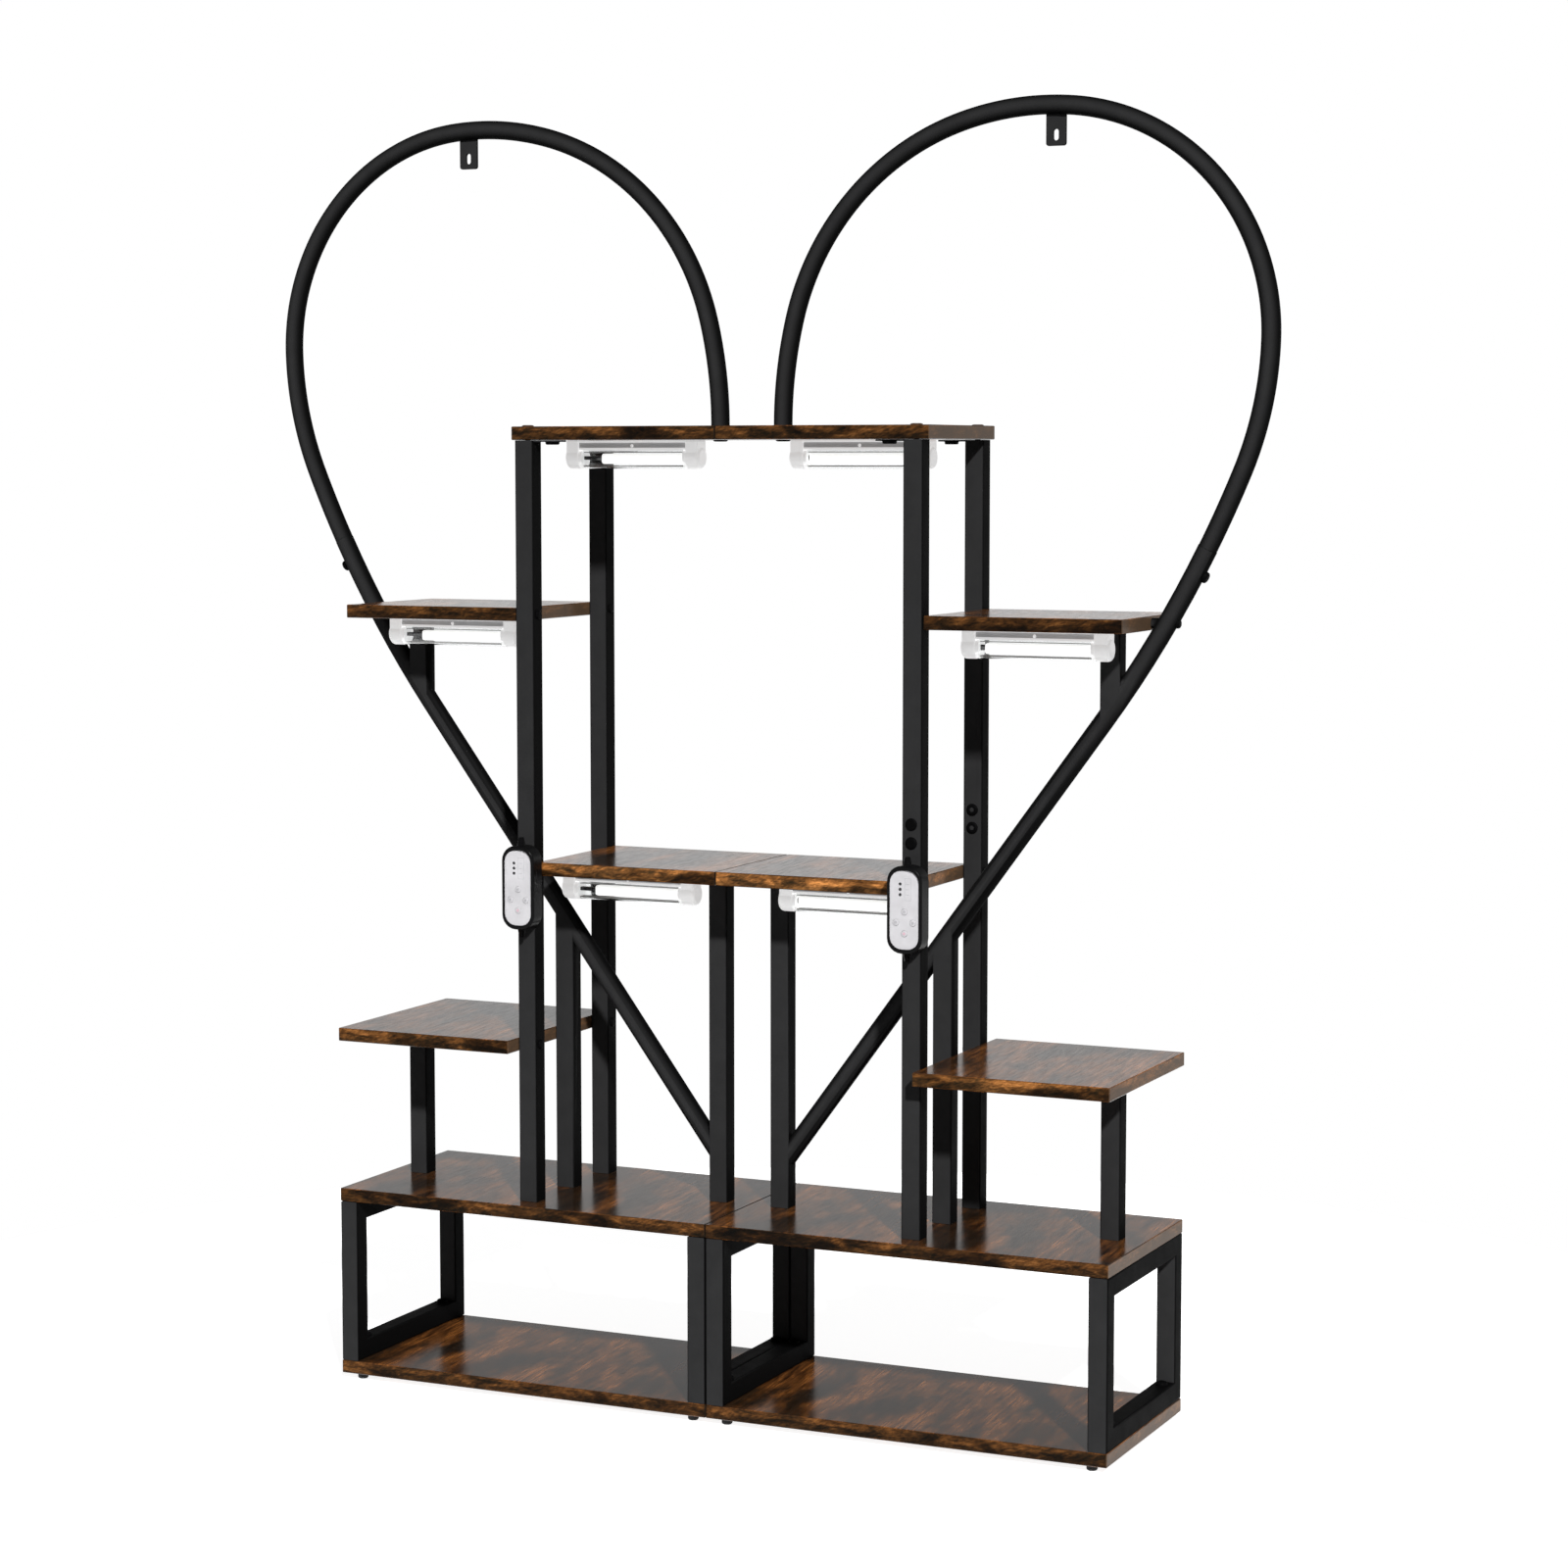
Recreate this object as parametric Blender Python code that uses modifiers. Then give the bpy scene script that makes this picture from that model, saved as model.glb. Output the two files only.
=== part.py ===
import math

import bmesh
import bpy
from mathutils import Matrix, Vector

# Plant stand in two half-heart units that stand side by side and face the same way.
# X runs along the stand, Y towards the back, Z up; the origin is on the floor under the seam.

# Fits
GAP = 0.0003
OVERRUN = 0.002
WELD = 0.00001

# Boards
BOARD_THICKNESS = 0.015
BOARD_EDGE = 0.0008
UNIT_WIDTH = 0.4648
BASE_DEPTH = 0.245
SHELF_DEPTH = 0.190
TOP_OVERHANG = 0.006

# Square tube
TUBE_WIDTH = 0.0222
TUBE_WALL = 0.0014
TUBE_CORNER = 0.0020
POST_SET = 0.2214
POST_SPAN = 0.1972
INNER_POST_SET = 0.0266
LOWER_SHORT_SET = 0.4155
UPPER_SHORT_SET = 0.4107
END_FRAME_HEIGHT = 0.185
END_BOLT_INSET = 0.035
TALL_POST_HEIGHT = 0.853
INNER_POST_HEIGHT = 0.369
LOWER_SHORT_HEIGHT = 0.170
UPPER_SHELF_RISE = 0.668

# Heart tube, whose bends are in proportion and sized to land on the top shelf
ROUND_RADIUS = 0.0107
ROUND_WALL = 0.0014
HEART_START_RISE = 0.0637
HEART_SLOPE = math.radians(53.53)
HEART_FOOT_SET = 0.0380
HEART_BEND_SHARES = (
    (1.2680, math.radians(13.79)),
    (0.3785, math.radians(21.23)),
    (0.2419, math.radians(85.47)),
    (0.3215, math.radians(22.89)),
    (0.2856, math.radians(59.32)),
    (0.4850, math.radians(13.77)),
)
HEART_JOINT_HEIGHT = 0.962
SPIGOT_LENGTH = 0.050
JOINT_BOLT_DROP = 0.028
BEND_STEP = 0.026
RUN_STEP = 0.120

# Hanging tab inside the top of the heart
TAB_WIDTH = 0.0225
TAB_DROP = 0.0430
TAB_THICKNESS = 0.003
TAB_CORNER = 0.003
TAB_SET = 0.3543
SLOT_WIDTH = 0.006
SLOT_LENGTH = 0.012
SLOT_RISE = 0.0115

# Screws and bolts
SCREW_HEAD_RADIUS = 0.0065
SCREW_HEAD_HEIGHT = 0.0018
TOP_SCREW_HEIGHT = 0.0010
SCREW_SHANK_RADIUS = 0.003
SHELF_SCREW_RADIUS = 0.0052
SHELF_SCREW_HEIGHT = 0.0022
JOINT_SCREW_RISE = 0.4265
JOINT_SCREW_PITCH = 0.0200
BOLT_HEAD_RADIUS = 0.0060
BOLT_HEAD_HEIGHT = 0.0035
BOLT_SHANK_RADIUS = 0.0026
NUT_RADIUS = 0.0070
NUT_HEIGHT = 0.0030
BOSS_RADIUS = 0.0055
ACCESS_HOLE_RADIUS = 0.0045
PLUG_HEIGHT = 0.004

# Tabs welded to the tall posts under the top shelf
SHELF_TAB_LENGTH = 0.0325
SHELF_TAB_WIDTH = 0.016
SHELF_TAB_THICKNESS = 0.0018
SHELF_TAB_BOLT_SET = 0.0197

# Levelling feet
FOOT_HEIGHT = 0.007
FOOT_RADIUS = 0.0060
FOOT_EDGE = 0.0015
FOOT_STUD_RADIUS = 0.003
FOOT_STUD_LENGTH = 0.010
FOOT_SET_X = 0.0205
FOOT_SET_Y = 0.0125

# Grow lights
LIGHT_LENGTH = 0.167
LIGHT_WIDTH = 0.026
LIGHT_HEIGHT = 0.032
LIGHT_BASE_HEIGHT = 0.0115
LIGHT_CAP_LENGTH = 0.017
DIFFUSER_INSET = 0.0012
DIFFUSER_WALL = 0.0012
LED_STRIP_WIDTH = 0.010
LED_STRIP_HEIGHT = 0.0016
TOP_LIGHT_SET = 0.0544
TOP_LIGHT_FORWARD = 0.0107
UPPER_LIGHT_SET = 0.0249
UPPER_LIGHT_FORWARD = 0.0415
MIDDLE_LIGHT_SET = 0.0508
MIDDLE_LIGHT_FORWARD = 0.0320

# Controller
CONTROL_WIDTH = 0.0404
CONTROL_HEIGHT = 0.0935
CONTROL_DEPTH = 0.020
CONTROL_CORNER = 0.0165
CONTROL_EDGE = 0.0022
CONTROL_RISE = 0.3576
FACE_WIDTH = 0.0333
FACE_HEIGHT = 0.0840
FACE_CORNER = 0.0135
FACE_THICKNESS = 0.0015
FACE_SINK = 0.0014
CASING_POCKET_DEPTH = 0.013
CASING_LEDGE = 0.0017
BUTTON_RADIUS = 0.0034
BUTTON_FLANGE = 0.0009
BUTTON_FLANGE_HEIGHT = 0.0010
BUTTON_PROUD = 0.0007
BUTTON_LEVEL = 0.0135
BUTTON_SPREAD_X = 0.0098
BUTTON_SPREAD_Z = 0.0116
INDICATOR_RADIUS = 0.0008
INDICATOR_PITCH = 0.0057
INDICATOR_SET = 0.0048
INDICATOR_LEVEL = 0.0220
GLAND_RADIUS = 0.0048
GLAND_TIP_RADIUS = 0.0030
GLAND_LENGTH = 0.009

# Facet counts
CORNER_STEPS = 2
ROD_STEPS = 16
BORE_RESOLUTION = 2
TUBE_RESOLUTION = 5
ARC_STEPS = 7
CASING_STEPS = 6

# Levels and faces worked out from the sizes above
SEAM_X = GAP / 2
OUTER_X = SEAM_X + UNIT_WIDTH
POST_X = SEAM_X + POST_SET
POST_OUTER_X = POST_X + TUBE_WIDTH
POST_MID_X = POST_X + TUBE_WIDTH / 2
POST_Y = POST_SPAN / 2 - TUBE_WIDTH / 2
HALF_TUBE = TUBE_WIDTH / 2
BOTTOM_TOP = FOOT_HEIGHT + BOARD_THICKNESS
FRAME_Z = BOTTOM_TOP + GAP
DECK_Z = FRAME_Z + END_FRAME_HEIGHT + GAP
DECK_TOP = DECK_Z + BOARD_THICKNESS
POST_Z = DECK_TOP + GAP
LOWER_SHELF_Z = POST_Z + LOWER_SHORT_HEIGHT + GAP
MIDDLE_SHELF_Z = POST_Z + INNER_POST_HEIGHT + GAP
TOP_SHELF_Z = POST_Z + TALL_POST_HEIGHT + GAP
TOP_SHELF_TOP = TOP_SHELF_Z + BOARD_THICKNESS
UPPER_SHELF_Z = DECK_TOP + UPPER_SHELF_RISE - BOARD_THICKNESS
INNER_POST_X = SEAM_X + INNER_POST_SET
HEART_START = Vector((INNER_POST_X + TUBE_WIDTH, 0, DECK_TOP + HEART_START_RISE))
HEART_FOOT = Vector((SEAM_X + HEART_FOOT_SET, 0, TOP_SHELF_TOP + GAP))
BORE_SIDES = 2 * (BORE_RESOLUTION + 2)
BORE_RADIUS = ROUND_RADIUS - ROUND_WALL
SPIGOT_RADIUS = BORE_RADIUS * math.cos(math.pi / BORE_SIDES) - GAP

UP = Vector((0, 0, 1))
FORWARD = Vector((0, -1, 0))

for old in list(bpy.data.objects):
    bpy.data.objects.remove(old, do_unlink=True)

scene = bpy.context.scene
PARTS = bpy.data.collections.new("plant_stand")
CUTTERS = bpy.data.collections.new("cutters")
scene.collection.children.link(PARTS)
scene.collection.children.link(CUTTERS)


def make_material(name, colour, roughness, metallic=0.0, alpha=1.0):
    """Plain Principled material."""
    made = bpy.data.materials.new(name)
    made.use_nodes = True
    shader = made.node_tree.nodes["Principled BSDF"]
    shader.inputs["Base Color"].default_value = (*colour, 1.0)
    shader.inputs["Roughness"].default_value = roughness
    shader.inputs["Metallic"].default_value = metallic
    shader.inputs["Alpha"].default_value = alpha
    made.diffuse_color = (*colour, alpha)
    return made


WOOD = make_material("rustic_board", (0.24, 0.13, 0.07), 0.55)
STEEL = make_material("black_steel", (0.020, 0.020, 0.022), 0.50, 0.2)
RUBBER = make_material("black_rubber", (0.015, 0.015, 0.015), 0.80)
WHITE = make_material("white_plastic", (0.80, 0.80, 0.80), 0.35)
CLEAR = make_material("clear_cover", (0.92, 0.93, 0.94), 0.10, 0.0, 0.5)
CASING = make_material("black_plastic", (0.018, 0.018, 0.020), 0.40)
FACE = make_material("face_plate", (0.76, 0.76, 0.78), 0.40)
BUTTON = make_material("button_white", (0.70, 0.70, 0.72), 0.45)


def box(bm, x, y, z):
    """Closed box between the pairs x, y and z."""
    low = Vector((x[0], y[0], z[0]))
    high = Vector((x[1], y[1], z[1]))
    place = Matrix.Translation((low + high) / 2) @ Matrix.Diagonal((*(high - low), 1))
    return bmesh.ops.create_cube(bm, size=1, matrix=place)["verts"]


def bar(bm, x, y, z, axis, radius, steps=CORNER_STEPS):
    """Box whose four edges along one axis are rounded."""
    verts = box(bm, x, y, z)
    edges = set()
    for vert in verts:
        for edge in vert.link_edges:
            run = (edge.verts[0].co - edge.verts[1].co).normalized()
            if abs(run[axis]) > abs(run[axis - 1]) + abs(run[axis - 2]):
                edges.add(edge)
    bmesh.ops.bevel(
        bm, geom=list(edges), offset=radius, segments=steps, profile=0.5, affect="EDGES"
    )


def add_mesh(bm, local, place=Matrix.Identity(4)):
    """Move a finished bmesh into another one."""
    bmesh.ops.recalc_face_normals(local, faces=local.faces)
    bmesh.ops.transform(local, matrix=place, verts=local.verts)
    mesh = bpy.data.meshes.new("shape")
    local.to_mesh(mesh)
    local.free()
    bm.from_mesh(mesh)
    bpy.data.meshes.remove(mesh)


def evaluated_bmesh(holder):
    """Welded bmesh of an object as it evaluates; the object is removed."""
    scene.collection.objects.link(holder)
    graph = bpy.context.evaluated_depsgraph_get()
    mesh = bpy.data.meshes.new_from_object(holder.evaluated_get(graph))
    local = bmesh.new()
    local.from_mesh(mesh)
    bmesh.ops.remove_doubles(local, verts=local.verts, dist=WELD)
    bpy.data.meshes.remove(mesh)
    bpy.data.objects.remove(holder, do_unlink=True)
    return local


def turned(bm, base, axis, profile, steps=ROD_STEPS):
    """Turned solid; profile is pairs of distance along the axis and radius."""
    mesh = bpy.data.meshes.new("profile")
    points = [(radius, 0, along) for along, radius in reversed(profile)]
    mesh.from_pydata(points, [(i, i + 1) for i in range(len(points) - 1)], [])
    holder = bpy.data.objects.new("profile", mesh)
    screw = holder.modifiers.new("turn", "SCREW")
    screw.axis = "Z"
    screw.angle = 2 * math.pi
    screw.steps = steps
    screw.render_steps = steps
    screw.use_merge_vertices = True
    screw.merge_threshold = WELD
    local = evaluated_bmesh(holder)
    bpy.data.meshes.remove(mesh)
    turn = Vector(axis).to_track_quat("Z", "Y").to_matrix().to_4x4()
    add_mesh(bm, local, Matrix.Translation(base) @ turn)


def rod(bm, base, axis, length, radius, steps=ROD_STEPS):
    """Plain cylinder from its base along an axis."""
    turned(bm, base, axis, ((0, 0), (0, radius), (length, radius), (length, 0)), steps)


def head(bm, base, axis, radius, height):
    """Low domed screw head, sunk a little into what carries it."""
    profile = (
        (-TUBE_WALL / 2, 0),
        (-TUBE_WALL / 2, radius),
        (height / 2, radius),
        (height, radius * 0.7),
        (height, 0),
    )
    turned(bm, base, axis, profile)


def from_curve(curve):
    """Welded bmesh of a curve's solid; the curve is removed."""
    local = evaluated_bmesh(bpy.data.objects.new("guide", curve))
    bpy.data.curves.remove(curve)
    return local


def sweep(bm, points, radius, resolution):
    """Round bar along points, with filled ends."""
    curve = bpy.data.curves.new("sweep", "CURVE")
    curve.dimensions = "3D"
    curve.bevel_depth = radius
    curve.bevel_resolution = resolution
    curve.use_fill_caps = True
    spline = curve.splines.new("POLY")
    spline.points.add(len(points) - 1)
    for knot, point in zip(spline.points, points):
        knot.co = (*point, 1)
    add_mesh(bm, from_curve(curve))


def sheet(bm, outlines, place, thickness):
    """Flat sheet of closed outlines, inner ones cut out, centred on its plane."""
    curve = bpy.data.curves.new("sheet", "CURVE")
    curve.dimensions = "2D"
    curve.fill_mode = "BOTH"
    curve.extrude = thickness / 2
    for outline in outlines:
        spline = curve.splines.new("POLY")
        spline.points.add(len(outline) - 1)
        spline.use_cyclic_u = True
        for knot, point in zip(spline.points, outline):
            knot.co = (point[0], point[1], 0, 1)
    add_mesh(bm, from_curve(curve), place)


def rounded(width, height, radius, steps, centre=(0, 0)):
    """Outline of a rectangle with round corners."""
    points = []
    for quarter in range(4):
        turn = quarter * math.pi / 2
        sign_x = 1 if quarter in (0, 3) else -1
        sign_y = 1 if quarter in (0, 1) else -1
        mid_x = centre[0] + sign_x * (width / 2 - radius)
        mid_y = centre[1] + sign_y * (height / 2 - radius)
        for step in range(steps + 1):
            angle = turn + step * math.pi / 2 / steps
            points.append((mid_x + radius * math.cos(angle), mid_y + radius * math.sin(angle)))
    return points


def trough(width, height, steps):
    """Outline with a flat top on the X axis and a half-round bottom."""
    radius = width / 2
    points = [(radius, 0)]
    points.append((-radius, 0))
    for step in range(steps + 1):
        angle = math.pi + step * math.pi / steps
        points.append((radius * math.cos(angle), radius - height + radius * math.sin(angle)))
    return points


def mesh_object(name, fill, collection):
    """Object from a function that fills a bmesh."""
    bm = bmesh.new()
    fill(bm)
    mesh = bpy.data.meshes.new(name)
    bm.to_mesh(mesh)
    bm.free()
    obj = bpy.data.objects.new(name, mesh)
    collection.objects.link(obj)
    return obj


def piece(name, material, fill, joined=(), cuts=(), origin=None):
    """One named part: a base shape, what is welded to it, then what is cut from it."""
    obj = mesh_object(name, fill, PARTS)
    obj.data.materials.append(material)
    operands = [("join", "UNION", add) for add in joined]
    operands += [("cut", "DIFFERENCE", add) for add in cuts]
    for number, (word, operation, add) in enumerate(operands):
        tool = mesh_object(f"{name}_{word}_{number}", add, CUTTERS)
        tool.hide_render = True
        tool.display_type = "WIRE"
        step = obj.modifiers.new(f"{word}_{number}", "BOOLEAN")
        step.operation = operation
        step.solver = "EXACT"
        step.object = tool
    if origin is not None:
        obj.data.transform(Matrix.Translation(-Vector(origin)))
        obj.location = origin
    return obj


def span(side, low, high):
    """Ordered pair of X values on the left or the right unit."""
    return (low, high) if side > 0 else (-high, -low)


def at(side, point):
    """Point on the left or the right unit."""
    return Vector((side * point[0], point[1], point[2]))


def heart_route():
    """Segments of the heart tube: straight run, then bends that end straight down."""
    shape = Vector((0, 0, 0))
    angle = HEART_SLOPE
    for radius, sweep_angle in HEART_BEND_SHARES:
        after = angle + sweep_angle
        shape += radius * Vector((math.sin(after) - math.sin(angle), 0, math.cos(angle) - math.cos(after)))
        angle = after
    reach = HEART_FOOT - HEART_START
    cross = math.cos(HEART_SLOPE) * shape.z - math.sin(HEART_SLOPE) * shape.x
    run = (reach.x * shape.z - reach.z * shape.x) / cross
    size = (math.cos(HEART_SLOPE) * reach.z - math.sin(HEART_SLOPE) * reach.x) / cross
    route = [("run", run, 0)]
    for radius, sweep_angle in HEART_BEND_SHARES:
        route.append(("bend", radius * size, sweep_angle))
    return route


ROUTE = heart_route()
HEART_LENGTH = sum(first if kind == "run" else first * turn for kind, first, turn in ROUTE)


def heart_at(distance):
    """Point and direction angle at a distance along the heart tube."""
    point = HEART_START.copy()
    angle = HEART_SLOPE
    left = distance
    for kind, first, turn in ROUTE:
        whole = first if kind == "run" else first * turn
        part = left if kind == ROUTE[0][0] and left < 0 else min(left, whole)
        if kind == "run":
            point += part * Vector((math.cos(angle), 0, math.sin(angle)))
        else:
            after = angle + part / first
            point += first * Vector((math.sin(after) - math.sin(angle), 0, math.cos(angle) - math.cos(after)))
            angle = after
        left -= part
        if left <= 0:
            break
    if left > 0:
        point += left * Vector((math.cos(angle), 0, math.sin(angle)))
    return point, angle


def heart_distance(reached):
    """Distance along the rising side at which a test first holds."""
    low = 0
    high = HEART_LENGTH / 2
    for _ in range(40):
        middle = (low + high) / 2
        if reached(heart_at(middle)[0]):
            high = middle
        else:
            low = middle
    return high


def heart_points(side, start, end):
    """Points along the heart tube, close in the bends and wide on the run."""
    straight = ROUTE[0][1]
    stops = [start]
    if start < straight:
        count = max(1, round((min(straight, end) - start) / RUN_STEP))
        stops += [start + (min(straight, end) - start) * (i + 1) / count for i in range(count)]
    if end > straight:
        first = max(start, straight)
        count = max(1, round((end - first) / BEND_STEP))
        stops += [first + (end - first) * (i + 1) / count for i in range(count)]
    return [at(side, heart_at(stop)[0]) for stop in stops]


JOINT_S = heart_distance(lambda point: point.z > HEART_JOINT_HEIGHT)
SHELF_S = heart_distance(lambda point: point.z > UPPER_SHELF_Z + BOARD_THICKNESS / 2)


def board(name, side, x, depth, z, holes=()):
    """Board with eased edges and clearance holes for shanks."""
    def fill(bm):
        verts = box(bm, span(side, *x), (-depth / 2, depth / 2), (z, z + BOARD_THICKNESS))
        edges = {edge for vert in verts for edge in vert.link_edges}
        bmesh.ops.bevel(bm, geom=list(edges), offset=BOARD_EDGE, segments=1, affect="EDGES")

    def drill(place, radius, low, length):
        return lambda bm: rod(bm, at(side, (*place, low)), UP, length, radius)

    cuts = [drill(*hole) for hole in holes]
    piece(name, WOOD, fill, cuts=cuts)


def end_frame(name, side, x):
    """Welded loop of square tube with bolts through its bottom bar."""
    middle = (x[0] + x[1]) / 2
    high = END_FRAME_HEIGHT
    bolt_y = BASE_DEPTH / 2 - END_BOLT_INSET
    place = Matrix.Translation(at(side, (middle, 0, FRAME_Z + high / 2)))
    place @= Matrix.Rotation(math.pi / 2, 4, "Z") @ Matrix.Rotation(math.pi / 2, 4, "X")

    def loop(bm, inset, width):
        outer = (BASE_DEPTH / 2 - inset, high / 2 - inset)
        inner = (BASE_DEPTH / 2 - TUBE_WIDTH + inset, high / 2 - TUBE_WIDTH + inset)
        corners = ((-1, -1), (1, -1), (1, 1), (-1, 1))
        outlines = [[(a * half[0], b * half[1]) for a, b in corners] for half in (outer, inner)]
        sheet(bm, outlines, place, width)

    def fill(bm):
        loop(bm, 0, TUBE_WIDTH)
        edges = []
        for edge in bm.edges:
            run = edge.verts[0].co - edge.verts[1].co
            if abs(run.x) < WELD and len(edge.link_faces) == 2 and edge.calc_face_angle() > 1:
                edges.append(edge)
        bmesh.ops.bevel(
            bm, geom=edges, offset=TUBE_CORNER, segments=CORNER_STEPS, profile=0.5, affect="EDGES"
        )

    def bolts(bm):
        for y in (-bolt_y, bolt_y):
            seat = at(side, (middle, y, FRAME_Z + TUBE_WIDTH))
            head(bm, seat, UP, SCREW_HEAD_RADIUS, BOLT_HEAD_HEIGHT)

    def access(bm):
        for y in (-bolt_y, bolt_y):
            low = FRAME_Z + high - TUBE_WIDTH - OVERRUN
            rod(bm, at(side, (middle, y, low)), UP, OVERRUN + 2 * TUBE_WALL, ACCESS_HOLE_RADIUS)

    cavity = (lambda bm: loop(bm, TUBE_WALL, TUBE_WIDTH - 2 * TUBE_WALL))
    piece(name, STEEL, fill, joined=[bolts], cuts=[cavity, access])


def shelf_tab(side, y, z):
    """Tab under a shelf, welded to a tall post's inner face, with its bolt's head."""
    low = z - GAP - SHELF_TAB_THICKNESS

    def fill(bm):
        x = span(side, POST_X - SHELF_TAB_LENGTH, POST_X + TUBE_WALL / 2)
        half = SHELF_TAB_WIDTH / 2
        box(bm, x, (y - half, y + half), (low, low + SHELF_TAB_THICKNESS))

    def bolt(bm):
        seat = at(side, (POST_X - SHELF_TAB_BOLT_SET, y, low))
        profile = (
            (-SHELF_TAB_THICKNESS / 2, 0),
            (-SHELF_TAB_THICKNESS / 2, NUT_RADIUS),
            (NUT_HEIGHT, NUT_RADIUS),
            (NUT_HEIGHT, 0),
        )
        turned(bm, seat, -UP, profile, ROD_STEPS)

    return [fill, bolt]


def tall_post(name, side, y, facing):
    """Hollow square post from the deck to the top shelf, with the screws that hold the shelves."""
    x = span(side, POST_X, POST_OUTER_X)
    high = POST_Z + TALL_POST_HEIGHT

    def fill(bm):
        bar(bm, x, (y - HALF_TUBE, y + HALF_TUBE), (POST_Z, high), 2, TUBE_CORNER)

    def top_screw(bm):
        rise = BOARD_THICKNESS + 2 * GAP
        profile = (
            (-PLUG_HEIGHT / 2, 0),
            (-PLUG_HEIGHT / 2, SCREW_SHANK_RADIUS),
            (rise, SCREW_SHANK_RADIUS),
            (rise, SCREW_HEAD_RADIUS),
            (rise + TOP_SCREW_HEIGHT / 2, SCREW_HEAD_RADIUS),
            (rise + TOP_SCREW_HEIGHT, SCREW_HEAD_RADIUS / 2),
            (rise + TOP_SCREW_HEIGHT, 0),
        )
        turned(bm, at(side, (POST_MID_X, y, high)), UP, profile)

    def shelf_screws(bm):
        shelves = ((POST_X, -side, LOWER_SHELF_Z), (POST_X, -side, UPPER_SHELF_Z))
        for face, way, z in (*shelves, (POST_OUTER_X, side, MIDDLE_SHELF_Z)):
            seat = at(side, (face, y, z + BOARD_THICKNESS / 2))
            head(bm, seat, (way, 0, 0), SHELF_SCREW_RADIUS, SHELF_SCREW_HEIGHT)

    def joint_screws(bm):
        for step in (0, 1):
            z = POST_Z + JOINT_SCREW_RISE + step * JOINT_SCREW_PITCH
            seat = at(side, (POST_MID_X, y + facing * HALF_TUBE, z))
            head(bm, seat, (0, facing, 0), SCREW_HEAD_RADIUS, SCREW_HEAD_HEIGHT)

    def bore(bm):
        inner = span(side, POST_X + TUBE_WALL, POST_OUTER_X - TUBE_WALL)
        half = HALF_TUBE - TUBE_WALL
        box(bm, inner, (y - half, y + half), (POST_Z - OVERRUN, high - PLUG_HEIGHT))

    joined = [top_screw, shelf_screws, joint_screws]
    joined += shelf_tab(side, y, TOP_SHELF_Z)
    piece(name, STEEL, fill, joined=joined, cuts=[bore])


def trimmed_bar(bm, x, z, point, keep):
    """Square bar on the centre plane, cut off along the heart tube's centre line."""
    local = bmesh.new()
    bar(local, x, (-HALF_TUBE, HALF_TUBE), z, 2, TUBE_CORNER)
    geometry = list(local.verts) + list(local.edges) + list(local.faces)
    bmesh.ops.bisect_plane(
        local, geom=geometry, dist=WELD, plane_co=point, plane_no=keep, clear_inner=True
    )
    bmesh.ops.holes_fill(local, edges=local.edges)
    add_mesh(bm, local)


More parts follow.
